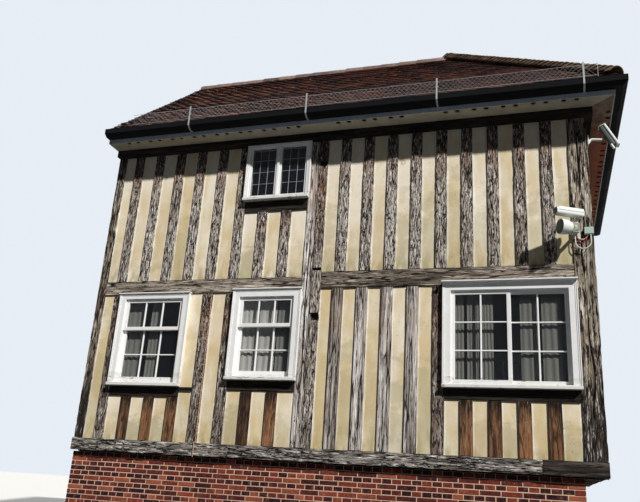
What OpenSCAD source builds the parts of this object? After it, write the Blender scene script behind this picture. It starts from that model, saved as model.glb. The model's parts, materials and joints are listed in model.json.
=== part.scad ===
// Half timbered house: two bays of close studding on a brick plinth, with a tiled roof
// that is hipped at the corner and ends at a plain party wall. Walls are laid out from
// the outer corner of the corner post: X runs along the front, Y into the house, Z up.

/* [House] */
// Clear width of the bay beside the corner post
right_bay = 2990; // [2600:10:3600]
// Clear width of the bay beside the party wall
left_bay = 2865; // [2600:10:3400]
// Depth of the house over the faces of the studs
depth = 4300; // [3900:50:5200]
// Height of the brick plinth under the sill beam
plinth_h = 980; // [500:10:1400]
// Clear height of the lower storey in the right bay
lower_h = 1925; // [1800:5:2300]
// Clear height of the upper storey in the right bay
upper_h = 1840; // [1700:5:2200]
// Pitch of the front and back slopes in degrees
roof_pitch = 41.25; // [38:0.25:50]
// Pitch of the hip in degrees
hip_pitch = 43.75; // [40:0.25:55]

/* [Plinth and party wall] */
// Thickness of the brick plinth
plinth_t = 225; // [200:5:300]
// Set back of the plinth behind the face of the front and back studs
plinth_back = 50; // [20:5:120]
// Set back of the plinth behind the face of the end studs
plinth_end_back = 237; // [100:1:300]
// Thickness of the party wall
party_t = 130; // [110:5:215]

/* [Timbers] */
// Depth of studs, posts and rails through the wall
timber_d = 150; // [120:5:180]
// Width of a stud
stud_w = 144; // [110:2:160]
// Width of the corner post along the front
corner_post_w = 235; // [200:5:260]
// Width of the corner post along the end
corner_post_d = 200; // [180:5:240]
// Width of each of the two middle posts
mid_post_w = 129; // [110:1:150]
// Open joint between the two middle posts
mid_post_gap = 2; // [1.5:0.5:6]
// Width of the post at the party wall
end_post_w = 130; // [130:5:180]
// Height of the sill beam
sill_h = 170; // [140:5:220]
// Stand out of the sill beam before the studs
sill_proud = 30; // [10:5:40]
// Reach of the sill beam behind the studs, into the house
sill_ledge = 17; // [8:1:30]
// Length of the newer length of sill at the corner
sill_new_l = 650; // [400:10:900]
// Height of the middle rail in the right bay
rail_h = 225; // [180:5:260]
// Height of the middle rail in the left bay
left_rail_h = 195; // [180:5:240]
// Drop of the left rail below the right one
left_rail_drop = 25; // [0:5:40]
// Height of the wall plate
plate_h = 190; // [160:5:240]
// Stand out of the wall plate before the studs
plate_proud = 70; // [40:5:100]
// Width of the mortices left in the middle post
mortice_w = 100; // [60:5:105]
// Depth of the mortices
mortice_d = 60; // [30:5:100]

/* [Stud spacing] */
// Studs in the left bay
left_studs = 8; // [8:1:9]
// Gap before the first stud of the left bay
left_first_gap = 158; // [120:2:180]
// Gap after the last stud of the left bay
left_last_gap = 211; // [150:2:230]
// Studs in the right bay
right_studs = 9; // [9:1:10]
// Gap before the first lower stud of the right bay
right_first_gap = 150; // [120:2:180]
// Gap after the last lower stud of the right bay
right_last_gap = 196; // [150:2:220]
// Gap at both ends of the upper right bay
upper_end_gap = 170; // [140:2:190]
// Studs in the end wall
end_studs = 11; // [10:1:12]
// Gap at both ends of the end wall
end_gap = 170; // [140:2:190]

/* [Infill and floors] */
// Set back of the plaster panels behind the studs
infill_back = 14; // [8:1:25]
// Thickness of the plaster panels
infill_t = 108; // [80:2:120]
// Thickness of a floor with its joists
floor_t = 170; // [150:5:170]

/* [Windows] */
// Underside of the left window above the sill beam
left_cill_up = 673; // [600:1:800]
// Underside of the middle window above the sill beam
middle_cill_up = 769; // [650:1:850]
// Underside of the right window above the sill beam
right_cill_up = 726; // [600:1:800]
// Underside of the upper window above the left rail
upper_cill_up = 1073; // [950:1:1150]
// Height of the timber under a lower window
under_rail_h = 130; // [100:5:150]
// Height of the timber under an upper window
upper_under_rail_h = 155; // [120:5:170]
// Width of a lower window's frame members
frame_w = 72; // [50:2:90]
// Width of an upper window's frame members
casement_frame_w = 30; // [24:1:40]
// Height of the cill
cill_h = 48; // [30:2:60]
// Fall of the cill's nose below the frame's opening
cill_fall = 10; // [4:1:20]
// Stand out of the cill before the studs
cill_proud = 76; // [50:2:90]
// Stand out of the frame before the studs
frame_proud = 40; // [20:2:46]
// Depth of the frame into the wall
frame_d = 104; // [98:2:120]
// Lap of the frame's trim over the timbers
trim_lap = 24; // [10:1:30]
// Width of a sash's stiles and rails
sash_w = 46; // [36:1:56]
// Thickness of a sash
sash_t = 35; // [30:1:40]
// Stand out of the outer sash before the studs
sash_proud = 10; // [4:1:16]
// Clearance between the two sashes of a window
sash_clear = 2; // [1:0.5:4]
// Height of a lower sash's bottom rail
bottom_rail_h = 72; // [56:1:90]
// Share of a sash window's height that its upper sash shows
upper_sash_share = 0.36; // [0.3:0.01:0.5]
// Width of a casement's stiles
casement_w = 27; // [22:1:34]
// Thickness of a casement
casement_t = 38; // [32:1:44]
// Stand out of a casement before the studs
casement_proud = 24; // [10:1:32]
// Width of the mullion between two casements
mullion_w = 36; // [30:1:50]
// Thickness of the glass
glass_t = 4; // [3:0.5:6]
// Thickness that the folds of a curtain take up
curtain_t = 26; // [16:1:30]
// Bottom edge of a curtain above the cill
curtain_up = 12; // [6:1:40]
// Clearance between the inner sash and a curtain
curtain_clear = 6; // [4:1:12]

/* [Eaves] */
// Height of the soffit above the underside of the wall plate
soffit_up = 100; // [70:5:130]
// Thickness of the soffit board
soffit_t = 12; // [9:1:18]
// Reach of the fascia's face before the studs
fascia_over = 310; // [260:5:340]
// Thickness of the fascia
fascia_t = 12; // [10:1:20]
// Stand of the fascia below the soffit
fascia_lip = 4; // [2:1:10]
// Reach of the lowest tiles before the studs
tile_over = 350; // [345:5:400]
// Height of the lowest tile's top edge above the soffit
tile_up = 245; // [235:5:280]
// Thickness of the tiling
tile_t = 35; // [25:1:45]
// Width of the plates that carry the feet of the rafters
rafter_plate_w = 110; // [80:5:140]
// Thickness of the rafters and boards
deck_t = 105; // [90:5:110]
// Projection of the gutter
gutter_w = 135; // [110:5:150]
// Height of the gutter
gutter_h = 112; // [90:2:120]
// Height of the gutter's underside above the fascia's lower edge
gutter_up = 59; // [40:1:70]
// Thickness of the gutter's wall
gutter_t = 5; // [4:0.5:8]
// Width of the gutter's flat floor
belly_w = 81; // [60:1:90]
// Rise of the gutter's floor from its flat to its upright front
belly_h = 39; // [20:1:60]
// Open joint at the mitres of the eaves
mitre_gap = 2; // [1:0.5:4]
// Diameter of the vent holes in the soffit
vent_d = 62; // [40:2:70]
// Spacing of the two holes of a pair
vent_pair = 145; // [120:5:170]
// Spacing of the pairs
vent_pitch = 348; // [300:2:400]
// Set in of the holes' centres behind the fascia's face
vent_in = 50; // [46:1:90]
// First pair of holes from the corner of the house
first_vent = 182; // [150:1:260]

/* [Ridge and hips] */
// Outer radius of the ridge tiles
ridge_r = 118; // [100:2:130]
// Outer radius of the hip tiles
hip_r = 112; // [90:2:125]
// Thickness of ridge and hip tiles
cap_t = 18; // [14:1:24]
// Stand of the hip tiles over the slopes at their edges
hip_stand = 4; // [2:1:10]
// Start of the hip tiles above the corner of the eaves
hip_start = 30; // [10:5:60]
// End of the hip tiles below the end of the ridge
hip_stop = 80; // [60:5:120]

/* [Snow guard] */
// Number of brackets
guard_count = 4; // [3:1:4]
// First bracket from the corner of the house
guard_first = 28; // [0:2:120]
// Spacing of the brackets
guard_pitch = 1704; // [1400:2:1800]
// Height of the brackets above the gutter
guard_h = 215; // [150:5:240]
// Width of a bracket's strap
strap_w = 20; // [16:1:40]
// Thickness of a bracket's strap
strap_t = 6; // [4:1:8]
// Diameter of the guard's long wires
guard_wire_d = 5; // [4:1:12]
// Spacing of the guard's long wires
guard_mesh_h = 150; // [100:5:170]
// Height of the lower long wire above the gutter
guard_wire_up = 25; // [10:5:40]
// Reach of the long wires past the bracket nearest the party wall
guard_wire_left = 900; // [400:50:1200]
// Reach of the long wires past the corner of the house
guard_wire_right = 130; // [60:5:250]

/* [Security cameras] */
// Length of a camera's housing
housing_l = 330; // [280:5:360]
// Width of a camera's housing
housing_w = 100; // [80:5:120]
// Height of a camera's housing
housing_h = 92; // [70:2:110]
// Diameter of the lamp
lamp_d = 176; // [140:4:190]
// Length of the lamp
lamp_l = 150; // [120:5:180]
// Diameter of the ribbed block behind the lamp
sink_d = 110; // [80:2:130]
// Length of the ribbed block behind the lamp
sink_l = 30; // [20:2:60]
// Gap between the lamp and the housing over it
lamp_gap = 22; // [10:2:60]
// Stand of the lamp's middle before the studs
lamp_out = 200; // [180:5:240]
// Distance of the lamp's front from the corner of the house
lamp_in = 235; // [210:5:260]
// Height of the lamp's middle above the right rail
lamp_up = 350; // [330:5:600]
// Width of the junction box
box_w = 100; // [80:5:120]
// Thickness of the junction box
box_t = 52; // [40:2:70]
// Height of the junction box
box_h = 84; // [60:2:110]
// Thickness of a camera's arm
arm_t = 30; // [20:2:44]
// Thickness of a camera's wall plate
foot_t = 12; // [8:1:20]
// Drop of the end camera's pivot below the soffit
end_camera_down = 355; // [255:10:505]
// Stand of the end camera's pivot before the end wall
end_camera_out = 240; // [200:5:260]
// Distance of the end camera from the corner of the house
end_camera_in = 60; // [50:5:150]
// Length of the knuckle that carries the end camera
knuckle_l = 45; // [30:1:70]
// Thickness of a loop of cable
loop_d = 11; // [8:1:14]
// Straight fall of the outer loop before it turns
loop_drop = 88; // [0:4:120]
// Thickness of the cable that is clipped to a stud
cable_d = 10; // [6:1:14]

/* [Hidden] */
$fn = 48;

// Places along the front, from the corner of the house to the party wall
right_x1 = -corner_post_w;
right_x0 = right_x1 - right_bay;
mid_w = 2 * mid_post_w + mid_post_gap;
left_x1 = right_x0 - mid_w;
left_x0 = left_x1 - left_bay;
wall_x0 = left_x0 - end_post_w;

// Heights
sill_top = plinth_h + sill_h;
rail_z = sill_top + lower_h;
rail_top = rail_z + rail_h;
left_rail_z = rail_z - left_rail_drop;
left_rail_top = left_rail_z + left_rail_h;
plate_z = rail_top + upper_h;
plate_top = plate_z + plate_h;
soffit_z = plate_z + soffit_up;
tile_edge_z = soffit_z + tile_up;

// Roof: heights are those of the tiles' upper faces unless they say otherwise
tile_v = tile_t / cos(roof_pitch);
deck_v = deck_t / cos(roof_pitch);
hip_tile_v = tile_t / cos(hip_pitch);
hip_deck_v = deck_t / cos(hip_pitch);
roof_rise = (depth / 2 + tile_over) * tan(roof_pitch);
ridge_z = tile_edge_z + roof_rise;
apex_x = tile_over - roof_rise / tan(hip_pitch);
deck_z = tile_edge_z - tile_v - deck_v;
hip_deck_z = tile_edge_z - hip_tile_v - hip_deck_v;
gutter_z = soffit_z - fascia_lip + gutter_up;
gutter_top = gutter_z + gutter_h;
gutter_over = fascia_over + gutter_w;

// The whole house stands with the middle of its box over the origin
centre_x = (wall_x0 + gutter_over) / 2;
centre_y = (depth - strap_t) / 2;

// A bay is [x0, x1, first gap, last gap, number of studs, floor, head]
left_lower = [left_x0, left_x1, left_first_gap, left_last_gap, left_studs, sill_top, left_rail_z];
right_lower = [right_x0, right_x1, right_first_gap, right_last_gap, right_studs, sill_top, rail_z];
left_upper = [left_x0, left_x1, left_first_gap, left_last_gap, left_studs,
    left_rail_top, plate_z];
right_upper = [right_x0, right_x1, upper_end_gap, upper_end_gap, right_studs,
    rail_top, plate_z];
end_lower = [corner_post_d, depth - corner_post_d, end_gap, end_gap, end_studs,
    sill_top, rail_z];
end_upper = [corner_post_d, depth - corner_post_d, end_gap, end_gap, end_studs,
    rail_top, plate_z];

// A window is [bay, first short stud, last short panel, underside, timber under it, lap at head]
left_window = [left_lower, 1, 3, left_cill_up, under_rail_h, 0];
middle_window = [left_lower, left_studs - 2, left_studs, middle_cill_up, under_rail_h, trim_lap];
right_window = [right_lower, right_studs - 4, right_studs, right_cill_up, under_rail_h, trim_lap];
upper_window = [left_upper, left_studs - 2, left_studs, upper_cill_up, upper_under_rail_h, 0];
end_window = [end_lower, 4, 6, right_cill_up, under_rail_h, trim_lap];
end_upper_window = [end_upper, 4, 6, upper_cill_up - rail_top + left_rail_top,
    upper_under_rail_h, 0];
hung_windows = [left_window, middle_window];
front_lower_windows = [left_window, middle_window, right_window];

// Depths of the window's layers behind the stud faces
outer_sash_y = -sash_proud;
inner_sash_y = outer_sash_y + sash_t + sash_clear;
casement_y = -casement_proud;
curtain_y = inner_sash_y + sash_t + curtain_clear;

function stud_pitch(b) = (b[1] - b[0] - b[2] - b[3] - stud_w) / (b[4] - 1);
function stud_x0(b, i) = b[0] + b[2] + i * stud_pitch(b);
function stud_x1(b, i) = stud_x0(b, i) + stud_w;
function panel_x0(b, i) = i == 0 ? b[0] : stud_x1(b, i - 1);
function panel_x1(b, i) = i == b[4] ? b[1] : stud_x0(b, i);
function win_x0(w) = stud_x1(w[0], w[1] - 1);
function win_x1(w) = w[2] == w[0][4] ? w[0][1] : stud_x1(w[0], w[2]);
function win_z0(w) = w[0][5] + w[3];
function win_z1(w) = w[0][6];
function short_z(w) = win_z0(w) - w[4];
function in_window(w, i) = i >= w[1] && i <= w[2];
function head_of(b, ws, i) = let (hit = [for (w = ws) if (in_window(w, i)) short_z(w)])
    len(hit) > 0 ? hit[0] : b[6];

// A box from its lowest to its highest corner
module block(lo, hi) {
    translate(lo) cube(hi - lo);
}

module housed() {
    translate([-centre_x, -centre_y, 0]) children();
}

// The back wall repeats the front one, and the end wall turns its face to +X
module at_back() {
    translate([0, depth, 0]) mirror([0, 1, 0]) children();
}

module at_end() {
    rotate([0, 0, 90]) children();
}

// A profile in Y and Z, carried along X
module along_x(x0, x1) {
    translate([x0, 0, 0]) rotate([90, 0, 90]) linear_extrude(x1 - x0) children();
}

module studs_of(b, ws) {
    for (i = [0 : b[4] - 1])
        block([stud_x0(b, i), 0, b[5]], [stud_x1(b, i), timber_d, head_of(b, ws, i)]);
}

module panels_of(b, ws) {
    for (i = [0 : b[4]])
        block([panel_x0(b, i), infill_back, b[5]],
            [panel_x1(b, i), infill_back + infill_t, head_of(b, ws, i)]);
}

module timber_under(w) {
    block([win_x0(w), 0, short_z(w)], [win_x1(w), timber_d, win_z0(w)]);
}

module window_frame(w, member) {
    x0 = win_x0(w);
    x1 = win_x1(w);
    z0 = win_z0(w);
    z1 = win_z1(w);
    difference() {
        union() {
            block([x0, -frame_proud, z0], [x1, frame_d, z1]);
            block([x0 - trim_lap, -frame_proud, z0], [x1 + trim_lap, 0, z1 + w[5]]);
            block([x0 - trim_lap, -cill_proud, z0], [x1 + trim_lap, 0, z0 + cill_h - cill_fall]);
        }
        block([x0 + member, -cill_proud - 1, z0 + cill_h],
            [x1 - member, frame_d + 1, z1 - member]);
    }
}

module casement_frame(w) {
    mid = (win_x0(w) + win_x1(w)) / 2;
    window_frame(w, casement_frame_w);
    block([mid - mullion_w / 2, -frame_proud, win_z0(w) + cill_h],
        [mid + mullion_w / 2, frame_d, win_z1(w) - casement_frame_w]);
}

// A ring of stiles and rails with a taller bottom rail
module sash(x0, x1, z0, z1, y, t, stile, bottom) {
    difference() {
        block([x0, y, z0], [x1, y + t, z1]);
        block([x0 + stile, y - 1, z0 + bottom], [x1 - stile, y + t + 1, z1 - stile]);
    }
}

module pane(x0, x1, z0, z1, y, t, stile, bottom) {
    block([x0 + stile, y + (t - glass_t) / 2, z0 + bottom],
        [x1 - stile, y + (t + glass_t) / 2, z1 - stile]);
}

// The opening inside a lower window's frame
function light_x0(w) = win_x0(w) + frame_w;
function light_x1(w) = win_x1(w) - frame_w;
function light_z0(w) = win_z0(w) + cill_h;
function light_z1(w) = win_z1(w) - frame_w;
function meeting_z(w) = light_z1(w) - upper_sash_share * (light_z1(w) - light_z0(w));
function meeting_x(w) = (light_x0(w) + light_x1(w)) / 2;

// Each sash is [x0, x1, z0, z1]; hung sashes part in height and sliding ones in width
function outer_hung(w) = [light_x0(w), light_x1(w), meeting_z(w) - sash_w / 2, light_z1(w)];
function inner_hung(w) = [light_x0(w), light_x1(w), light_z0(w), meeting_z(w) + sash_w / 2];
function outer_sliding(w) = [light_x0(w), meeting_x(w) + sash_w / 2, light_z0(w), light_z1(w)];
function inner_sliding(w) = [meeting_x(w) - sash_w / 2, light_x1(w), light_z0(w), light_z1(w)];

module outer_sashes_of(hung, sliding) {
    for (w = hung) {
        s = outer_hung(w);
        sash(s[0], s[1], s[2], s[3], outer_sash_y, sash_t, sash_w, sash_w);
    }
    for (w = sliding) {
        s = outer_sliding(w);
        sash(s[0], s[1], s[2], s[3], outer_sash_y, sash_t, sash_w, sash_w);
    }
}

module inner_sashes_of(hung, sliding) {
    for (w = hung) {
        s = inner_hung(w);
        sash(s[0], s[1], s[2], s[3], inner_sash_y, sash_t, sash_w, bottom_rail_h);
    }
    for (w = sliding) {
        s = inner_sliding(w);
        sash(s[0], s[1], s[2], s[3], inner_sash_y, sash_t, sash_w, sash_w);
    }
}

module sash_glass_of(hung, sliding) {
    for (w = hung) {
        s = outer_hung(w);
        t = inner_hung(w);
        pane(s[0], s[1], s[2], s[3], outer_sash_y, sash_t, sash_w, sash_w);
        pane(t[0], t[1], t[2], t[3], inner_sash_y, sash_t, sash_w, bottom_rail_h);
    }
    for (w = sliding) {
        s = outer_sliding(w);
        t = inner_sliding(w);
        pane(s[0], s[1], s[2], s[3], outer_sash_y, sash_t, sash_w, sash_w);
        pane(t[0], t[1], t[2], t[3], inner_sash_y, sash_t, sash_w, sash_w);
    }
}

// The two lights of a casement window, each [x0, x1]
function lights(w) = let (mid = (win_x0(w) + win_x1(w)) / 2)
    [[win_x0(w) + casement_frame_w, mid - mullion_w / 2],
     [mid + mullion_w / 2, win_x1(w) - casement_frame_w]];

module casements_of(w) {
    for (s = lights(w))
        sash(s[0], s[1], win_z0(w) + cill_h, win_z1(w) - casement_frame_w,
            casement_y, casement_t, casement_w, casement_w);
}

module casement_glass_of(w) {
    for (s = lights(w))
        pane(s[0], s[1], win_z0(w) + cill_h, win_z1(w) - casement_frame_w,
            casement_y, casement_t, casement_w, casement_w);
}

module front_plinth() {
    color("firebrick") housed()
        block([wall_x0, plinth_back, 0], [-plinth_end_back, plinth_back + plinth_t, plinth_h]);
}

module back_plinth() {
    color("firebrick") housed() at_back()
        block([wall_x0, plinth_back, 0], [-plinth_end_back, plinth_back + plinth_t, plinth_h]);
}

module end_plinth() {
    color("firebrick") housed() at_end()
        block([plinth_back + plinth_t, plinth_end_back, 0],
            [depth - plinth_back - plinth_t, plinth_end_back + plinth_t, plinth_h]);
}

// Sill beams stand out before the studs and reach a little further into the house
sill_in = timber_d + sill_ledge;

// The party wall stands inside the front and back walls and fills the gable
module party_wall() {
    inner = plinth_back + plinth_t;
    eaves_z = deck_z + (tile_over + timber_d) * tan(roof_pitch);
    mid_z = deck_z + roof_rise;
    color("indianred") housed() {
        along_x(wall_x0, wall_x0 + party_t)
            polygon([[inner, 0], [depth - inner, 0], [depth - inner, plinth_h],
                [depth - sill_in, plinth_h],
                [depth - sill_in, sill_top], [depth - timber_d, sill_top],
                [depth - timber_d, eaves_z], [depth / 2, mid_z], [timber_d, eaves_z],
                [timber_d, sill_top], [sill_in, sill_top],
                [sill_in, plinth_h], [inner, plinth_h]]);
    }
}

module front_sill() {
    color("dimgray") housed()
        block([wall_x0, -sill_proud, plinth_h], [-sill_new_l, sill_in, sill_top]);
}

module new_sill() {
    color("gray") housed()
        block([-sill_new_l, -sill_proud, plinth_h], [0, sill_in, sill_top]);
}

module back_sill() {
    color("dimgray") housed() at_back()
        block([wall_x0, -sill_proud, plinth_h], [0, sill_in, sill_top]);
}

module end_sill() {
    color("dimgray") housed() at_end()
        block([sill_in, 0, plinth_h], [depth - sill_in, plinth_end_back + plinth_t, sill_top]);
}

module corner_posts_of() {
    block([-corner_post_w, 0, sill_top], [0, corner_post_d, plate_z]);
    block([wall_x0, 0, sill_top], [left_x0, timber_d, plate_z]);
}

module corner_posts() {
    color("gray") housed() {
        corner_posts_of();
        at_back() corner_posts_of();
    }
}

// Each mortice is [middle above the sill beam, height]
mortices = [[3656, 84], [2185, 47], [1571, 104]];

module middle_posts_of() {
    block([left_x1, 0, sill_top], [left_x1 + mid_post_w, timber_d, plate_z]);
    block([right_x0 - mid_post_w, 0, sill_top], [right_x0, timber_d, plate_z]);
}

module middle_posts() {
    mid = right_x0 - mid_post_w / 2;
    color("gray") housed() {
        difference() {
            middle_posts_of();
            for (m = mortices)
                block([mid - mortice_w / 2, -1, sill_top + m[0] - m[1] / 2],
                    [mid + mortice_w / 2, mortice_d, sill_top + m[0] + m[1] / 2]);
        }
        at_back() middle_posts_of();
    }
}

module rails_of() {
    block([left_x0, 0, left_rail_z], [left_x1, timber_d, left_rail_top]);
    block([right_x0, 0, rail_z], [right_x1, timber_d, rail_top]);
}

module front_rails() {
    color("saddlebrown") housed() rails_of();
}

module back_rails() {
    color("saddlebrown") housed() at_back() rails_of();
}

module end_rail() {
    color("saddlebrown") housed() at_end()
        block([corner_post_d, 0, rail_z], [depth - corner_post_d, timber_d, rail_top]);
}

module long_plate_of() {
    block([wall_x0, -plate_proud, plate_z], [plate_proud, timber_d, plate_top]);
}

module long_plates() {
    color("saddlebrown") housed() {
        long_plate_of();
        at_back() long_plate_of();
    }
}

module end_plate() {
    color("saddlebrown") housed() at_end()
        block([timber_d, -plate_proud, plate_z], [depth - timber_d, timber_d, plate_top]);
}

// The upper plates carry the feet of the rafters, bevelled to the slope above them
module rafter_plates() {
    y0 = -plate_proud;
    y1 = y0 + rafter_plate_w;
    z0 = deck_z + (tile_over + y0) * tan(roof_pitch);
    z1 = deck_z + (tile_over + y1) * tan(roof_pitch);
    h0 = hip_deck_z + (tile_over + y0) * tan(hip_pitch);
    h1 = hip_deck_z + (tile_over + y1) * tan(hip_pitch);
    long = [[y0, plate_top], [y1, plate_top], [y1, z1], [y0, z0]];
    color("peru") housed() {
        along_x(wall_x0, -y1 - mitre_gap) polygon(long);
        at_back() along_x(wall_x0, -y1 - mitre_gap) polygon(long);
        at_end() along_x(y1 + mitre_gap, depth - y1 - mitre_gap)
            polygon([[y0, plate_top], [y1, plate_top], [y1, h1], [y0, h0]]);
    }
}

module long_studs_of() {
    studs_of(left_lower, [left_window, middle_window]);
    studs_of(right_lower, [right_window]);
    studs_of(left_upper, [upper_window]);
    studs_of(right_upper, []);
}

module front_studs() {
    color("gray") housed() long_studs_of();
}

module back_studs() {
    color("gray") housed() at_back() long_studs_of();
}

module end_wall_studs() {
    color("gray") housed() at_end() {
        studs_of(end_lower, [end_window]);
        studs_of(end_upper, [end_upper_window]);
    }
}

module long_infill_of() {
    panels_of(left_lower, [left_window, middle_window]);
    panels_of(right_lower, [right_window]);
    panels_of(left_upper, [upper_window]);
    panels_of(right_upper, []);
}

module front_infill() {
    color("wheat") housed() long_infill_of();
}

module back_infill() {
    color("wheat") housed() at_back() long_infill_of();
}

module end_infill() {
    color("wheat") housed() at_end() {
        panels_of(end_lower, [end_window]);
        panels_of(end_upper, [end_upper_window]);
    }
}

module long_window_timbers_of() {
    for (w = front_lower_windows) timber_under(w);
    timber_under(upper_window);
}

module window_timbers() {
    color("saddlebrown") housed() {
        long_window_timbers_of();
        at_back() long_window_timbers_of();
        at_end() {
            timber_under(end_window);
            timber_under(end_upper_window);
        }
    }
}

module long_frames_of() {
    for (w = front_lower_windows) window_frame(w, frame_w);
    casement_frame(upper_window);
}

module front_window_frames() {
    color("white") housed() long_frames_of();
}

module back_window_frames() {
    color("white") housed() at_back() long_frames_of();
}

module end_window_frames() {
    color("white") housed() at_end() {
        window_frame(end_window, frame_w);
        casement_frame(end_upper_window);
    }
}

module outer_sashes() {
    color("white") housed() {
        outer_sashes_of(hung_windows, [right_window]);
        at_back() outer_sashes_of(hung_windows, [right_window]);
        at_end() outer_sashes_of([end_window], []);
    }
}

module inner_sashes() {
    color("white") housed() {
        inner_sashes_of(hung_windows, [right_window]);
        at_back() inner_sashes_of(hung_windows, [right_window]);
        at_end() inner_sashes_of([end_window], []);
    }
}

module casements() {
    color("white") housed() {
        casements_of(upper_window);
        at_back() casements_of(upper_window);
        at_end() casements_of(end_upper_window);
    }
}

module window_glass() {
    color("slategray") housed() {
        sash_glass_of(hung_windows, [right_window]);
        casement_glass_of(upper_window);
        at_back() {
            sash_glass_of(hung_windows, [right_window]);
            casement_glass_of(upper_window);
        }
        at_end() {
            sash_glass_of([end_window], []);
            casement_glass_of(end_upper_window);
        }
    }
}

module curtains() {
    color("ivory") housed()
        for (w = front_lower_windows)
            block([light_x0(w) + 1, curtain_y, light_z0(w) + curtain_up],
                [light_x1(w) - 1, curtain_y + curtain_t, light_z1(w)]);
}

module ground_floor() {
    color("burlywood") housed()
        block([wall_x0 + party_t, sill_in, sill_top - floor_t],
            [-plinth_end_back - plinth_t, depth - sill_in, sill_top]);
}

module upper_floor() {
    color("burlywood") housed()
        block([wall_x0 + party_t, timber_d, left_rail_top - floor_t],
            [-timber_d, depth - timber_d, left_rail_top]);
}

// A slope's layer stands between two heights over the tiles' edge and runs up at its pitch
module slope_layer(over, low, high) {
    rise = tan(roof_pitch);
    intersection() {
        along_x(wall_x0, tile_over)
            polygon([[-over, low + (tile_over - over) * rise],
                [depth / 2, low + roof_rise], [depth / 2, high + roof_rise],
                [-over, high + (tile_over - over) * rise]]);
        linear_extrude(ridge_z + tile_edge_z)
            polygon([[wall_x0, -tile_over], [tile_over, -tile_over],
                [apex_x, depth / 2], [wall_x0, depth / 2]]);
    }
}

module hip_layer(over, low, high) {
    rise = tan(hip_pitch);
    run = tile_over - apex_x;
    intersection() {
        translate([0, depth + tile_over, 0]) rotate([90, 0, 0])
            linear_extrude(depth + 2 * tile_over)
                polygon([[over, low + (tile_over - over) * rise],
                    [apex_x, low + run * rise], [apex_x, high + run * rise],
                    [over, high + (tile_over - over) * rise]]);
        linear_extrude(ridge_z + tile_edge_z)
            polygon([[tile_over, -tile_over], [tile_over, depth + tile_over],
                [apex_x, depth / 2]]);
    }
}

module front_roof() {
    color("peru") housed() slope_layer(fascia_over, deck_z, tile_edge_z - tile_v);
}

module back_roof() {
    color("peru") housed() at_back()
        slope_layer(fascia_over, deck_z, tile_edge_z - tile_v);
}

module end_roof() {
    color("peru") housed()
        hip_layer(fascia_over, hip_deck_z, tile_edge_z - hip_tile_v);
}

module front_tiles() {
    color("brown") housed() slope_layer(tile_over, tile_edge_z - tile_v, tile_edge_z);
}

module back_tiles() {
    color("brown") housed() at_back()
        slope_layer(tile_over, tile_edge_z - tile_v, tile_edge_z);
}

module end_tiles() {
    color("brown") housed() hip_layer(tile_over, tile_edge_z - hip_tile_v, tile_edge_z);
}

// Half a pipe along +X, open side down
module cap_row(r, length) {
    rotate([90, 0, 90]) linear_extrude(length) difference() {
        circle(r);
        circle(r - cap_t);
        translate([-r - 1, -r - 1]) square([2 * r + 2, r + 1]);
    }
}

module ridge_tiles() {
    seat = (ridge_r - cap_t) * tan(roof_pitch);
    color("sienna") housed()
        translate([wall_x0, depth / 2, ridge_z - seat]) cap_row(ridge_r, apex_x - wall_x0);
}

// The fall of each slope across a hip, seen along the hip
hip_fall = acos(cos(roof_pitch) * cos(hip_pitch)) / 2;
hip_run_x = tile_over - apex_x;
hip_run_y = tile_over + depth / 2;
hip_plan = sqrt(hip_run_x * hip_run_x + hip_run_y * hip_run_y);
hip_length = sqrt(hip_plan * hip_plan + roof_rise * roof_rise);

module hip_row() {
    seat = (hip_r - cap_t) * tan(hip_fall) + hip_stand;
    difference() {
        translate([tile_over, -tile_over, tile_edge_z])
            rotate([0, 0, atan2(hip_run_y, -hip_run_x)])
                rotate([0, -atan(roof_rise / hip_plan), 0])
                    translate([hip_start, 0, -seat])
                        cap_row(hip_r, hip_length - ridge_r - hip_start - hip_stop);
        slope_layer(tile_over, tile_edge_z - tile_v, tile_edge_z);
        hip_layer(tile_over, tile_edge_z - hip_tile_v, tile_edge_z);
    }
}

module hip_tiles() {
    color("sienna") housed() {
        hip_row();
        at_back() hip_row();
    }
}

// Three runs round the eaves, mitred at the corners with an open joint between them
module eaves_long(start, inner, outer) {
    cut = mitre_gap / 2;
    intersection() {
        along_x(start, outer) children();
        linear_extrude(ridge_z) polygon([[start, -outer], [outer - cut, -outer],
            [inner - cut, -inner], [start, -inner]]);
    }
}

module eaves_end(inner, outer) {
    cut = mitre_gap / 2;
    at_end() intersection() {
        along_x(-outer, depth + outer) children();
        linear_extrude(ridge_z) polygon([[cut - outer, -outer],
            [depth + outer - cut, -outer], [depth + inner - cut, -inner],
            [cut - inner, -inner]]);
    }
}

module soffit_profile() {
    translate([-fascia_over + fascia_t, soffit_z])
        square([fascia_over - fascia_t - plate_proud, soffit_t]);
}

// Index of the pairs of vent holes that the front soffit lacks
missing_vents = [5, 9];
vent_over = fascia_over - vent_in;

module vent_pair_at(x) {
    for (s = [-1, 1])
        translate([x + s * vent_pair / 2, -vent_over, soffit_z - 1])
            cylinder(d = vent_d, h = soffit_t + 2);
}

module long_vents(missing) {
    last = floor((-first_vent - wall_x0 - vent_pair) / vent_pitch);
    for (i = [0 : last])
        if (len([for (m = missing) if (m == i) m]) == 0)
            vent_pair_at(-first_vent - i * vent_pitch);
}

module end_vents() {
    last = floor((depth - first_vent - vent_pair) / vent_pitch);
    for (i = [0 : last]) vent_pair_at(first_vent + i * vent_pitch);
}

module soffit() {
    inner = plate_proud;
    outer = fascia_over - fascia_t;
    color("cornsilk") housed() {
        difference() {
            eaves_long(wall_x0 + fascia_t, inner, outer) soffit_profile();
            long_vents(missing_vents);
        }
        difference() {
            at_back() eaves_long(wall_x0 + fascia_t, inner, outer) soffit_profile();
            at_back() long_vents([]);
        }
        difference() {
            eaves_end(inner, outer) soffit_profile();
            at_end() end_vents();
        }
    }
}

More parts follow.
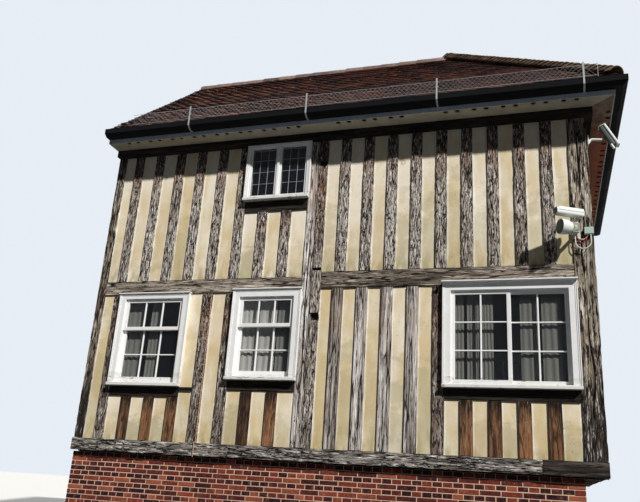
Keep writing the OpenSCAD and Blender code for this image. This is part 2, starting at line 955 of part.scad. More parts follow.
// The fascia reaches from under the soffit to the underside of the rafters
module fascia_profile(z, pitch) {
    back = fascia_over - fascia_t;
    low = soffit_z - fascia_lip;
    polygon([[-fascia_over, low], [-back, low],
        [-back, z + (tile_over - back) * tan(pitch)],
        [-fascia_over, z + (tile_over - fascia_over) * tan(pitch)]]);
}

// A board closes the end of the eaves at the party wall
module eaves_stop() {
    low = soffit_z - fascia_lip;
    back = fascia_over - fascia_t - mitre_gap;
    along_x(wall_x0, wall_x0 + fascia_t)
        polygon([[-back, low], [-plate_proud, low],
            [-plate_proud, deck_z + (tile_over - plate_proud) * tan(roof_pitch)],
            [-back, deck_z + (tile_over - back) * tan(roof_pitch)]]);
}

module fascia() {
    inner = fascia_over - fascia_t;
    color("gainsboro") housed() {
        eaves_long(wall_x0, inner, fascia_over) fascia_profile(deck_z, roof_pitch);
        at_back() eaves_long(wall_x0, inner, fascia_over) fascia_profile(deck_z, roof_pitch);
        eaves_end(inner, fascia_over) fascia_profile(hip_deck_z, hip_pitch);
        eaves_stop();
        at_back() eaves_stop();
    }
}

// The gutter's floor is flat at the fascia and rises to its upright front
module gutter_profile() {
    t = gutter_t;
    translate([-fascia_over, gutter_z]) mirror([1, 0]) polygon([
        [0, 0], [belly_w, 0], [gutter_w, belly_h], [gutter_w, gutter_h],
        [gutter_w - t, gutter_h], [gutter_w - t, belly_h + t / 2],
        [belly_w - t / 2, t], [t, t], [t, gutter_h], [0, gutter_h]]);
}

module gutter_stop() {
    along_x(wall_x0, wall_x0 + gutter_t)
        translate([-fascia_over, gutter_z]) mirror([1, 0]) polygon([
            [0, 0], [belly_w, 0], [gutter_w, belly_h], [gutter_w, gutter_h],
            [0, gutter_h]]);
}

module gutter() {
    color("black") housed() {
        eaves_long(wall_x0, fascia_over, gutter_over) gutter_profile();
        at_back() eaves_long(wall_x0, fascia_over, gutter_over) gutter_profile();
        eaves_end(fascia_over, gutter_over) gutter_profile();
        gutter_stop();
        at_back() gutter_stop();
    }
}

// Each strap is screwed under the gutter, comes round it and stands up in front of it
module guard_brackets() {
    t = strap_t;
    color("silver") housed()
        for (i = [0 : guard_count - 1])
            along_x(-guard_first - i * guard_pitch - strap_w / 2,
                    -guard_first - i * guard_pitch + strap_w / 2)
                translate([-fascia_over, gutter_z]) mirror([1, 0]) polygon([
                    [0, -t], [belly_w, -t], [gutter_w + t, belly_h - t / 2],
                    [gutter_w + t, gutter_h + guard_h], [gutter_w, gutter_h + guard_h],
                    [gutter_w, belly_h], [belly_w, 0], [0, 0]]);
}

module guard_wires() {
    r = guard_wire_d / 2;
    x0 = -guard_first - (guard_count - 1) * guard_pitch - guard_wire_left;
    low = gutter_top + guard_wire_up;
    color("silver") housed()
        for (z = [low, low + guard_mesh_h])
            translate([x0, -gutter_over + r, z]) rotate([0, 90, 0])
                cylinder(r = r, h = guard_wire_right - x0);
}

// Camera at the corner: a hooded housing over a round lamp, both facing along the front
camera_turn = 29;
lamp_x = -lamp_in;
lamp_y = -lamp_out;
lamp_z = rail_top + lamp_up;
housing_z = lamp_z + lamp_d / 2 + housing_h / 2 + lamp_gap;

// A flat sided housing with rounded upper edges, along -X
module housing_body(length) {
    r = housing_h * 0.35;
    rotate([90, 0, -90]) linear_extrude(length) union() {
        translate([-housing_w / 2, -housing_h / 2]) square([housing_w, housing_h - r]);
        translate([-housing_w / 2 + r, -housing_h / 2]) square([housing_w - 2 * r, housing_h]);
        for (s = [-1, 1]) translate([s * (housing_w / 2 - r), housing_h / 2 - r]) circle(r);
    }
}

module corner_camera() {
    color("whitesmoke") housed() {
        translate([lamp_x + housing_l / 3, lamp_y, housing_z]) rotate([0, 0, camera_turn])
            housing_body(housing_l);
        translate([lamp_x, lamp_y, lamp_z]) rotate([0, 0, camera_turn])
            rotate([0, -90, 0]) cylinder(d = lamp_d, h = lamp_l);
    }
}

// A wall plate and arm behind the lamp, and a stalk that carries the housing
module corner_camera_bracket() {
    stalk_x = lamp_x + sink_l + arm_t / 2;
    half = arm_t / 2;
    color("darkgray") housed() {
        block([stalk_x - 3 * half, -foot_t, lamp_z - 4 * half],
            [stalk_x + 3 * half, 0, lamp_z + 4 * half]);
        block([stalk_x - half, lamp_y, lamp_z - half], [stalk_x + half, -foot_t, lamp_z + half]);
        translate([lamp_x, lamp_y, lamp_z]) rotate([0, 0, camera_turn])
            rotate([0, 90, 0]) cylinder(d = sink_d, h = sink_l);
        translate([stalk_x, lamp_y, lamp_z])
            cylinder(d = arm_t, h = housing_z - housing_h / 2 - lamp_z);
    }
}

box_in = 5;
box_z = lamp_z - box_h / 4;

module junction_box() {
    color("lightgreen") housed()
        block([-box_w - box_in, -box_t, box_z], [-box_in, 0, box_z + box_h]);
}

// Two slack loops of cable hang between the lamp's arm and the junction box. Each goes from
// under the arm to under the box, set in from both, and falls straight before its half turn
module cable_loop(in0, in1, y, drop) {
    x0 = lamp_x + sink_l + in0;
    x1 = -box_in - box_w + box_w * 2 / 3 - in1;
    r = (x1 - x0) / 2;
    z = box_z - drop;
    translate([x0 + r, y, z]) rotate([-90, 0, 0])
        rotate_extrude(angle = 180) translate([r, 0]) circle(d = loop_d);
    translate([x0, y, z]) rotate([0, 0, 180])
        cylinder(d = loop_d, h = lamp_z - arm_t / 2 - z);
    if (drop > 0) translate([x1, y, z]) cylinder(d = loop_d, h = drop);
}

module camera_cables() {
    color("ivory") housed() {
        cable_loop(0, 0, loop_d - box_t, loop_drop);
        cable_loop(2 * loop_d, 3 * loop_d, -2 * loop_d, 0);
    }
}

// Camera under the end eaves, tilted down and away from the wall
end_camera_tilt = 63;

module at_end_camera() {
    translate([end_camera_out, end_camera_in, soffit_z - end_camera_down])
        rotate([0, end_camera_tilt, 0]) children();
}

module eaves_camera() {
    color("whitesmoke") housed() at_end_camera() translate([housing_l / 2, 0, 0])
        housing_body(housing_l);
}

// A wall plate and a level arm, with a knuckle square to the housing's underside
module eaves_camera_bracket() {
    drop = housing_h / 2 + knuckle_l;
    half = arm_t / 2;
    y = end_camera_in;
    arm_x = end_camera_out - drop * sin(end_camera_tilt);
    arm_z = soffit_z - end_camera_down - drop * cos(end_camera_tilt);
    color("whitesmoke") housed() {
        block([0, y - 3 * half, arm_z - 4 * half], [foot_t, y + 3 * half, arm_z + 4 * half]);
        block([foot_t, y - half, arm_z - half], [arm_x, y + half, arm_z + half]);
        translate([arm_x, y, arm_z]) sphere(d = arm_t + 4);
        at_end_camera() translate([0, 0, -drop]) cylinder(d = arm_t - 4, h = knuckle_l);
    }
}

// A thin cable clipped down one stud and over the sill beam
module stud_cable() {
    x = stud_x1(left_lower, 4) - cable_d;
    r = cable_d / 2;
    clips = 10;
    clip_h = cable_d * 6 / 5;
    clip_step = (left_rail_z - sill_top - 2 * stud_w) / clips;
    color("sienna") housed() {
        translate([x, -r, sill_top]) cylinder(r = r, h = left_rail_z - sill_top);
        block([x - r, -sill_proud - cable_d, sill_top], [x + r, 0, sill_top + cable_d]);
        translate([x, -sill_proud - r, plinth_h]) cylinder(r = r, h = sill_h + r);
        for (i = [0 : clips]) {
            z = sill_top + stud_w + i * clip_step;
            block([x - cable_d, -clip_h, z], [x + cable_d, 0, z + clip_h]);
        }
    }
}

front_plinth();
back_plinth();
end_plinth();
party_wall();
front_sill();
new_sill();
back_sill();
end_sill();
corner_posts();
middle_posts();
front_rails();
back_rails();
end_rail();
long_plates();
end_plate();
rafter_plates();
front_studs();
back_studs();
end_wall_studs();
front_infill();
back_infill();
end_infill();
window_timbers();
front_window_frames();
back_window_frames();
end_window_frames();
outer_sashes();
inner_sashes();
casements();
window_glass();
curtains();
ground_floor();
upper_floor();
front_roof();
back_roof();
end_roof();
front_tiles();
back_tiles();
end_tiles();
ridge_tiles();
hip_tiles();
soffit();
fascia();
gutter();
guard_brackets();
guard_wires();
corner_camera();
corner_camera_bracket();
camera_cables();
junction_box();
eaves_camera();
eaves_camera_bracket();
stud_cable();
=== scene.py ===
"""Looks of a half timbered house, built round its packed construction.

Every length is in metres. X runs along the front, Y into the house and Z up.
Places and sizes are read from the construction's own solids wherever it has them.
"""

import json
import logging
from dataclasses import dataclass, field, replace
from enum import Enum
from functools import cached_property, reduce

import bpy
import numpy as np
from mathutils import Matrix


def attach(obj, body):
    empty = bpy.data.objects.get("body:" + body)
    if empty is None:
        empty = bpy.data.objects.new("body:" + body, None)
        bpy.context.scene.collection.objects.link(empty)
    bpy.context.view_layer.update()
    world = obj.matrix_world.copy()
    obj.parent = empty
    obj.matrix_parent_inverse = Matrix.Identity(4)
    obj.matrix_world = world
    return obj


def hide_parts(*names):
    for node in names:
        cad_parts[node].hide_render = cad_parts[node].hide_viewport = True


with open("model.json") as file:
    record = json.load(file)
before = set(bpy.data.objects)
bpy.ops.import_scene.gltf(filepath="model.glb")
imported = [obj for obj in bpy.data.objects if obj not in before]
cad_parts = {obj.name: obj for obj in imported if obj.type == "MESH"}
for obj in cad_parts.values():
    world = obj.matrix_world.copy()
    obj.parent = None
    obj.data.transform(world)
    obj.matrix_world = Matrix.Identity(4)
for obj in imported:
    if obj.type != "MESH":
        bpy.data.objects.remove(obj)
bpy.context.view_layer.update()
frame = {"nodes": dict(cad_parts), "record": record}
LOG = logging.getLogger("house")
BODY = "root"
AXES = "xyz"
FLAT = 1e-4
Array = np.ndarray
Colour = tuple[float, float, float]
Material, Piece, Socket = bpy.types.Material, bpy.types.Object, bpy.types.NodeSocket


# Reading the construction


@dataclass(frozen=True)
class Box:
    """The lowest and highest corner of one solid."""

    lo: Array
    hi: Array

    @property
    def size(self) -> Array:
        """Edge lengths of the box."""
        return self.hi - self.lo

    @property
    def centre(self) -> Array:
        """Middle of the box."""
        return (self.lo + self.hi) / 2

    @staticmethod
    def of(lo: list[float], hi: list[float]) -> "Box":
        """Return the box between two corners given as lists."""
        return Box(np.array(lo), np.array(hi))

    @staticmethod
    def around(points: Array) -> "Box":
        """Return the box that just holds the points."""
        return Box(points.min(axis=0), points.max(axis=0))

    def grown(self, by: list[float]) -> "Box":
        """Return the box grown by a length to both sides of each axis."""
        return Box(self.lo - np.array(by), self.hi + np.array(by))


def node_points(node: str) -> Array:
    """Return the vertices of a construction node as an array of points."""
    mesh = frame["nodes"][node].data
    flat = np.empty(len(mesh.vertices) * 3)
    mesh.vertices.foreach_get("co", flat)
    return flat.reshape(-1, 3)


def node_box(node: str) -> Box:
    """Return the box of a whole construction node."""
    return Box.around(node_points(node))


def merged(node: str) -> tuple[Array, Array]:
    """Return a node's distinct points, and its triangles by point number."""
    mesh = frame["nodes"][node].data
    mesh.calc_loop_triangles()
    corners = np.empty(len(mesh.loop_triangles) * 3, dtype=np.int64)
    mesh.loop_triangles.foreach_get("vertices", corners)
    places, which = np.unique(np.round(node_points(node), 5), axis=0, return_inverse=True)
    return places, which.ravel()[corners].reshape(-1, 3)


def solids_of(node: str) -> list[Box]:
    """Return the box of each separate solid of a node.

    Every triangle passes the lowest of its three labels on to its corners until no label
    changes.

    Args:
        node: name of the construction node.

    Returns:
        Boxes in order of their lowest corner, along X, then Y, then Z.
    """
    places, corners = merged(node)
    label = np.arange(len(places))
    while True:
        passed = label.copy()
        np.minimum.at(passed, corners.ravel(), np.repeat(label[corners].min(axis=1), 3))
        passed = passed[passed]
        if (passed == label).all():
            break
        label = passed
    boxes = [Box.around(places[label == one]) for one in np.unique(label)]
    return sorted(boxes, key=lambda box: tuple(np.round(box.lo, 3)))


class Side(Enum):
    """A wall of the house, by the direction that its face looks to."""

    FRONT = "-y"
    BACK = "+y"
    END = "+x"

    @property
    def across(self) -> str:
        """Axis that runs along the wall."""
        return "y" if self is Side.END else "x"

    @property
    def outward(self) -> Array:
        """Direction that the wall looks to."""
        sign = -1.0 if self is Side.FRONT else 1.0
        return sign * np.eye(3)[AXES.index(self.value[1])]


UP = np.array([0, 0, 1.0])
HOUSE = node_box("corner_posts")
SIDE_REACH = 0.19


def side_of(box: Box) -> Side:
    """Return the wall that a solid of the walls belongs to."""
    if box.lo[1] < HOUSE.lo[1] + SIDE_REACH:
        return Side.FRONT
    if box.hi[1] > HOUSE.hi[1] - SIDE_REACH:
        return Side.BACK
    return Side.END


# Shapes as whole arrays


def xyz(*parts: object) -> Array:
    """Join coordinates, as arrays or single numbers, into points on a new last axis."""
    return np.stack(np.broadcast_arrays(*parts), axis=-1)


def unit(vectors: Array) -> Array:
    """Return vectors brought to length one."""
    return vectors / np.linalg.norm(vectors, axis=-1, keepdims=True)


def circle(sides: int) -> tuple[Array, Array]:
    """Return the cosines and the sines of evenly spaced angles."""
    angle = np.arange(sides) * 2 * np.pi / sides
    return np.cos(angle), np.sin(angle)


def for_each(faces: Array, count: int, points: int) -> Array:
    """Return one solid's faces for many solids that have so many points each."""
    return (faces[None] + np.arange(count)[:, None, None] * points).reshape(-1, 4)


@dataclass
class Shape:
    """A mesh under construction: points, four and three sided faces, and point marks."""

    points: Array
    quads: Array
    tris: Array = field(default_factory=lambda: np.zeros((0, 3), dtype=np.int64))
    finish: int = 0
    marks: dict[str, Array] = field(default_factory=dict)

    def marked(self, **values: object) -> "Shape":
        """Give every point a value under each name, and return the shape."""
        for name, value in values.items():
            self.marks[name] = np.broadcast_to(value, len(self.points)).astype(float)
        return self

    def finished(self, number: int) -> "Shape":
        """Choose the shape's finish by its number, and return the shape."""
        self.finish = number
        return self


def new_object(name: str, data: bpy.types.ID) -> Piece:
    """Add an object with the given data to the scene."""
    made = bpy.data.objects.new(name, data)
    bpy.context.scene.collection.objects.link(made)
    return made


def make_piece(name: str, shapes: list[Shape], finishes: list["Finish"], *stands_for: str,
               crease: float = 40) -> Piece:
    """Join shapes into one mesh object that rides on the house.

    Args:
        name: the piece's name.
        shapes: the shapes to join.
        finishes: what the shapes' finish numbers stand for.
        stands_for: construction nodes that the piece replaces.
        crease: edges bent by more degrees than this stay sharp.

    Returns:
        The new object.
    """
    starts = np.cumsum([0] + [len(shape.points) for shape in shapes])
    points = np.concatenate([shape.points for shape in shapes])
    quads, tris = (np.concatenate(
        [getattr(shape, kind) + start for shape, start in zip(shapes, starts)])
        for kind in ("quads", "tris"))
    numbers = np.concatenate([np.full(len(getattr(shape, kind)), shape.finish)
                              for kind in ("quads", "tris") for shape in shapes])
    mesh = bpy.data.meshes.new(name)
    mesh.vertices.add(len(points))
    mesh.vertices.foreach_set("co", points.ravel())
    mesh.loops.add(quads.size + tris.size)
    mesh.loops.foreach_set("vertex_index", np.concatenate([quads.ravel(), tris.ravel()]))
    mesh.polygons.add(len(quads) + len(tris))
    mesh.polygons.foreach_set("loop_start", np.concatenate(
        [np.arange(len(quads)) * 4, quads.size + np.arange(len(tris)) * 3]))
    mesh.polygons.foreach_set("material_index", numbers)
    mesh.update(calc_edges=True)
    mesh.polygons.foreach_set("use_smooth", np.ones(len(numbers), dtype=bool))
    mesh.set_sharp_from_angle(angle=np.radians(crease))
    for mark in sorted({mark for shape in shapes for mark in shape.marks}):
        values = [shape.marks.get(mark, np.zeros(len(shape.points))) for shape in shapes]
        layer = mesh.attributes.new(mark, "FLOAT", "POINT")
        layer.data.foreach_set("value", np.concatenate(values))
    for finish in finishes:
        mesh.materials.append(finish.material)
    return settle(new_object(name, mesh), finishes[0], *stands_for)


def settle(piece: Piece, finish: "Finish", *stands_for: str) -> Piece:
    """Tie a piece to the house's body, hide the nodes that it replaces, and log it."""
    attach(piece, BODY)
    if stands_for:
        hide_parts(*stands_for)
    LOG.info("%s: %d faces", piece.name, len(piece.data.polygons))
    return piece


def dress(finish: "Finish", *nodes: str) -> None:
    """Give construction nodes that stay as they are their finish."""
    for node in nodes:
        mesh = frame["nodes"][node].data
        mesh.materials.clear()
        mesh.materials.append(finish.material)
        LOG.info("%s: dressed", node)


def modify(piece: Piece, kind: str, **settings: object) -> None:
    """Add a modifier with the given settings to a piece."""
    added = piece.modifiers.new(kind.lower(), kind)
    for key, value in settings.items():
        setattr(added, key, value)


def softened(node: str, name: str, finish: "Finish", radius: float) -> Piece:
    """Copy a construction node, merge its doubles and round its edges.

    Args:
        node: the node to copy and replace.
        name: the new piece's name.
        finish: its finish.
        radius: width of the rounding.

    Returns:
        The new object.
    """
    mesh = frame["nodes"][node].data.copy()
    mesh.name = name
    piece = new_object(name, mesh)
    mesh.materials.clear()
    mesh.materials.append(finish.material)
    mesh.polygons.foreach_set("use_smooth", np.ones(len(mesh.polygons), dtype=bool))
    modify(piece, "WELD", merge_threshold=1e-5)
    modify(piece, "DECIMATE", decimate_type="DISSOLVE", angle_limit=np.radians(1))
    modify(piece, "BEVEL", width=radius, segments=2, limit_method="ANGLE",
           angle_limit=np.radians(35), harden_normals=False)
    modify(piece, "WEIGHTED_NORMAL")
    graph = bpy.context.evaluated_depsgraph_get()
    finished = bpy.data.meshes.new_from_object(piece.evaluated_get(graph))
    piece.modifiers.clear()
    piece.data = finished
    finished.name = name
    return settle(piece, finish, node)


def grid_quads(rows: int, columns: int, closed: bool) -> Array:
    """Return the faces of a grid of points, row after row.

    Args:
        rows: number of rows of points.
        columns: number of points in a row.
        closed: whether the last column joins the first one.

    Returns:
        Four point numbers for each face, in the order column, next column, next row.
    """
    row = np.arange(rows - 1)[:, None] * columns
    column = np.arange(columns if closed else columns - 1)[None, :]
    after = (column + 1) % columns
    return xyz(row + column, row + after, row + columns + after,
               row + columns + column).reshape(-1, 4)


def capped_rings(rings: Array) -> Shape:
    """Close a stack of rings of points with a fan of triangles at each end.

    Args:
        rings: points as rings by points in a ring by three.

    Returns:
        The shape, whose last two points are the fans' centres.
    """
    count, around = rings.shape[:2]
    points = np.concatenate([rings.reshape(-1, 3), rings[[0, -1]].mean(axis=1)])
    ring = np.arange(around)
    after = (ring + 1) % around
    low, top = count * around, (count - 1) * around
    tris = np.concatenate([xyz(low, after, ring), xyz(low + 1, top + ring, top + after)])
    return Shape(points, grid_quads(count, around, True), tris)


HASH_CELL = np.array([73856093, 19349663, 83492791])
HASH_SEED, HASH_FIRST, HASH_LAST = 2654435761, 1274126177, 668265263
HASH_MASK, HASH_HALF = 0x7FFFFFFF, 0x3FFFFFFF


def lattice_noise(places: Array, seed: int) -> Array:
    """Return smooth noise from -1 to 1 at points whose features are about one unit wide.

    Each whole number cell corner has a hashed value, and a point takes the mean of the
    eight around it, weighted by the smooth step of its place in the cell.

    Args:
        places: points as an array whose last axis is three.
        seed: another number gives other noise.

    Returns:
        One value for each point.
    """
    cell = np.floor(places).astype(np.int64)
    part = places - cell
    part = part * part * (3 - 2 * part)
    total = np.zeros(places.shape[:-1])
    for corner in range(8):
        step = np.array([corner & 1, corner >> 1 & 1, corner >> 2 & 1])
        key = (cell + step) @ HASH_CELL + seed * HASH_SEED
        key = (key ^ (key >> 13)) * HASH_FIRST & HASH_MASK
        key = (key ^ (key >> 15)) * HASH_LAST & HASH_MASK
        weight = np.where(step == 1, part, 1 - part).prod(axis=-1)
        total += weight * (key / HASH_HALF - 1)
    return total


@dataclass(frozen=True)
class Wear:
    """How a bar's surface departs from a plain block.

    The lengths are depths, except step and grain, which are sizes along the surface.
    """

    arris: float = 0.006
    fissure: float = 0.0
    broad: float = 0.0
    eaten: float = 0.0
    split: float = 0.0
    edge: float = 0.0
    step: float = 0.04
    grain: tuple[float, float] = (0.022, 0.16)


def bar(box: Box, axis: str, fine: dict[str, int], wear: Wear, seed: int,
        pockets: tuple[Box, ...] = ()) -> Shape:
    """Build a bar with rounded and weathered edges from its box.

    The cross section is a rectangle whose points are drawn to an inner rectangle and
    pushed out again by the arris, which rounds its corners. Rings of it run along the
    axis. Each side then moves inwards by slow noise, and a fine side also by the ridges
    of noise that is stretched along the grain, and by one split along its middle.

    Args:
        box: the bar's box.
        axis: the axis of its length.
        fine: number of columns of points for each finely made side, by its direction.
        wear: the weathering.
        seed: number that makes this bar differ from others.
        pockets: boxes that are sunk into a fine side.

    Returns:
        The bar, with marks cavity, along and rim.
    """
    k = AXES.index(axis)
    p, q = (k + 1) % 3, (k + 2) % 3
    half_p, half_q = box.size[p] / 2, box.size[q] / 2
    names = ["-" + AXES[q], "+" + AXES[p], "+" + AXES[q], "-" + AXES[p]]
    shares = []
    for number, name in enumerate(names):
        columns = fine.get(name, 0)
        width = 2 * (half_p if number % 2 == 0 else half_q)
        lip = min(0.2, (1.6 if columns else 1.0) * wear.arris / width)
        share = np.array([0.0, lip, 1 - lip])
        if columns:
            share = np.concatenate([[0, lip / 2], np.linspace(lip, 1 - lip, columns),
                                    [1 - lip / 2]])
        if columns and wear.split:
            gap = max(wear.edge, 0.4 * wear.split) / width
            share = np.sort(np.append(share[np.abs(share - 0.5) > gap],
                                      [0.5 - gap, 0.5, 0.5 + gap]))
        shares.append(share)
    share, number = np.concatenate(shares), np.repeat(range(4), [len(part) for part in shares])
    is_fine = np.array([name in fine for name in names])[number]
    outward = np.array([(0, -1), (1, 0), (0, 1), (-1, 0)], dtype=float)[number]
    start = np.array([(-1, -1), (1, -1), (1, 1), (-1, 1)], dtype=float)[number]
    run = np.array([(2, 0), (0, 2), (-2, 0), (0, -2)], dtype=float)[number]
    length = box.size[k]
    rings = max(2, int(np.ceil(length / wear.step)) + 1)
    along = np.linspace(0, length, rings)
    for pocket in pockets:
        cut = np.array([pocket.lo[k], pocket.hi[k]]) - box.lo[k]
        along = np.concatenate([along, cut - FLAT, cut + FLAT])
    along = np.sort(along)
    rings = len(along)
    path = 0.18 * lattice_noise(xyz(along / 0.45, 0, 3.3), seed)
    tent = 1 - np.abs(2 * share - 1)
    placed = share + path[:, None] * tent * (wear.split > 0) * is_fine
    halves = np.array([half_p, half_q])
    section = (start + run * placed[..., None]) * halves
    for pocket in pockets:
        for column, at, half in ((0, p, half_p), (1, q, half_q)):
            middle = box.centre[at]
            for edge in (pocket.lo[at] - middle, pocket.hi[at] - middle):
                near = np.abs(section[..., column] - edge) < 0.006
                section[..., column] = np.where(near & (abs(edge) < half), edge,
                                                section[..., column])
    drawn = np.clip(section, wear.arris - halves, halves - wear.arris)
    push = section - drawn
    reach = np.linalg.norm(push, axis=-1, keepdims=True)
    section = drawn + np.where(reach > 0, push / np.maximum(reach, 1e-9), 0) * np.minimum(
        reach, wear.arris)
    points = np.empty((rings, len(share), 3))
    points[..., k] = box.lo[k] + along[:, None]
    points[..., p] = box.centre[p] + section[..., 0]
    points[..., q] = box.centre[q] + section[..., 1]
    stretch = np.empty(3)
    stretch[[p, q]] = wear.grain[0]
    stretch[k] = wear.grain[1]
    ridges = 1 - np.abs(lattice_noise(points / stretch + seed, seed))
    ridges = ridges ** 5 * (0.4 + 0.6 * (lattice_noise(points / (4 * stretch), seed + 1) > 0))
    slow = 0.5 + 0.5 * lattice_noise(
        xyz(points[..., k] / 0.3, number * 7.7, seed * 0.37), seed + 2)
    broad = 0.5 + 0.5 * lattice_noise(points / (stretch * 3), seed + 3)
    presence = np.clip(0.4 + lattice_noise(xyz(along / 0.6, 0, 9.1), seed + 4), 0, 1)
    low_side = np.array([name == "-z" for name in names])[number]
    side_wear = np.where(low_side & (wear.eaten > 0), wear.eaten, wear.edge)
    depth = np.where(is_fine, wear.fissure * ridges + wear.broad * broad, 0) + np.where(
        is_fine & ~low_side, 0, side_wear * slow)
    depth = depth + (share == 0.5) * wear.split * presence[:, None]
    for pocket in pockets:
        room = np.empty(3)
        room[[k, p, q]] = 5e-5, 5e-4, 0.02
        inside = ((points > pocket.lo - room) & (points < pocket.hi + room)).all(axis=-1)
        depth = np.where(inside & is_fine, min(pocket.size[p], pocket.size[q]), depth)
    points[..., p] -= depth * outward[:, 0]
    points[..., q] -= depth * outward[:, 1]
    cavity = np.clip(depth / max(wear.fissure + wear.broad + 0.3 * wear.split, 1e-4), 0, 1)
    rim = np.clip(np.minimum(share, 1 - share) * 8, 0, 1)
    return capped_rings(points).marked(
        cavity=np.append(cavity * is_fine, [0, 0]),
        along=np.append(np.repeat(along / length, len(share)), [0, 1]),
        rim=np.append(np.tile(rim, rings), [0, 0]))


def bevelled_blocks(lo: Array, hi: Array, bevel: float, turn: Array,
                    origin: Array) -> Shape:
    """Build many blocks whose outer face has a bevel all round.

    A block's corners are its box's, and the outer face's four are drawn in by the bevel.

    Args:
        lo: lowest corners along the wall, up it and outwards, one row a block.
        hi: highest corners in the same directions.
        bevel: width of the bevel.
        turn: three rows, the directions along, up and out.
        origin: place of the local zero point.

    Returns:
        The blocks as one shape.
    """
    low_u, low_v, low_w = lo.T
    high_u, high_v, high_w = hi.T
    local = np.concatenate([np.stack([
        xyz(low_u + inset, low_v + inset, height), xyz(high_u - inset, low_v + inset, height),
        xyz(high_u - inset, high_v - inset, height), xyz(low_u + inset, high_v - inset, height)],
        axis=1) for inset, height in ((0, low_w), (0, high_w - bevel), (bevel, high_w))], axis=1)
    faces = np.array([[3, 2, 1, 0], [0, 1, 5, 4], [1, 2, 6, 5], [2, 3, 7, 6], [3, 0, 4, 7],
                      [4, 5, 9, 8], [5, 6, 10, 9], [6, 7, 11, 10], [7, 4, 8, 11],
                      [8, 9, 10, 11]])
    if np.linalg.det(turn) < 0:
        faces = faces[:, ::-1]
    return Shape(local.reshape(-1, 3) @ turn + origin, for_each(faces, len(lo), 12))


def block(lo: list[float], hi: list[float], axes: Array, origin: Array) -> Shape:
    """Build one block between two corners, whose outer face has a bevel of a millimetre."""
    return bevelled_blocks(np.array([lo]), np.array([hi]), 0.001, axes, origin)


def spoked(centres: Array, first: Array, second: Array, radius: float,
           sides: int) -> Array:
    """Return a ring round each centre: c + radius (cos t * first + sin t * second)."""
    cos, sin = (part[None, :, None] for part in circle(sides))
    return centres[:, None] + radius * (cos * first[:, None] + sin * second[:, None])


def rods(starts: Array, ends: Array, radius: float, sides: int = 4) -> Shape:
    """Build straight rods between pairs of points.

    Each ring is a circle of few points round the rod's axis, and both ends are capped.

    Args:
        starts: first end of each rod.
        ends: second end of each rod.
        radius: radius of the rods.
        sides: points in a ring.

    Returns:
        The rods as one shape.
    """
    axis = unit(ends - starts)
    first = unit(np.cross(np.where(np.abs(axis[:, 2:]) > 0.9, [1.0, 0, 0], UP), axis))
    both = np.concatenate([spoked(tips, first, np.cross(axis, first), radius, sides)
                           for tips in (starts, ends)], axis=1)
    count = len(starts)
    points = np.concatenate([both.reshape(-1, 3), starts, ends])
    base = np.arange(count)[:, None] * 2 * sides
    here = np.arange(sides)[None]
    after = (here + 1) % sides
    top = base + sides
    low = count * 2 * sides + np.arange(count)[:, None]
    quads = xyz(base + here, base + after, top + after, top + here).reshape(-1, 4)
    tris = np.concatenate([xyz(low, base + after, base + here).reshape(-1, 3),
                           xyz(low + count, top + here, top + after).reshape(-1, 3)])
    return Shape(points, quads, tris)


def swept_tube(path: Array, radius: float, sides: int) -> Shape:
    """Carry a circle along a path of points.

    Each ring stands square to the path, and its first spoke is the last ring's, made
    square again, so that the tube doesn't twist.

    Args:
        path: points of the centreline.
        radius: radius of the tube.
        sides: points in a ring.

    Returns:
        The closed tube.
    """
    tangent = unit(np.gradient(path, axis=0))
    spoke = np.cross(tangent[0], [0.31, 0.77, 0.55])
    spokes = np.empty_like(path)
    for i, along in enumerate(tangent):
        spoke = unit(spoke - along * (spoke @ along))
        spokes[i] = spoke
    return capped_rings(spoked(path, spokes, np.cross(tangent, spokes), radius, sides))


def smooth_path(points: list[tuple[float, float, float]], count: int) -> Array:
    """Return points on a smooth curve through the given ones.

    Between two points the curve is the cubic whose slopes are those of their neighbours.

    Args:
        points: points that the curve passes.
        count: number of points for each stretch.

    Returns:
        The points of the curve.
    """
    known = np.array(points, dtype=float)
    slope = np.gradient(known, axis=0)
    t = np.linspace(0, 1, count, endpoint=False)[None, :, None]
    a, b = known[:-1, None], known[1:, None]
    m, n = slope[:-1, None], slope[1:, None]
    curve = ((2 * t ** 3 - 3 * t ** 2 + 1) * a + (t ** 3 - 2 * t ** 2 + t) * m
             + (3 * t ** 2 - 2 * t ** 3) * b + (t ** 3 - t ** 2) * n)
    return np.concatenate([curve.reshape(-1, 3), known[-1:]])


def turned(profile: list[tuple[float, float]], axes: Array, origin: Array,
           sides: int = 40) -> Shape:
    """Turn a profile round an axis, as on a lathe.

    Args:
        profile: pairs of place along the axis and radius, from the first end.
        axes: three rows, the directions of the axis and of two spokes square to it.
        origin: zero point of the axis.
        sides: points round the axis.

    Returns:
        The closed turned shape.
    """
    along, radius = np.array(profile).T[..., None]
    cos, sin = circle(sides)
    return capped_rings(xyz(along, radius * cos, radius * sin) @ axes + origin)


# Shader effects that several finishes share


def opaque(value: object) -> object:
    """Return a colour with its alpha added, or any other value as it is."""
    return (*value, 1.0) if isinstance(value, tuple) and len(value) == 3 else value


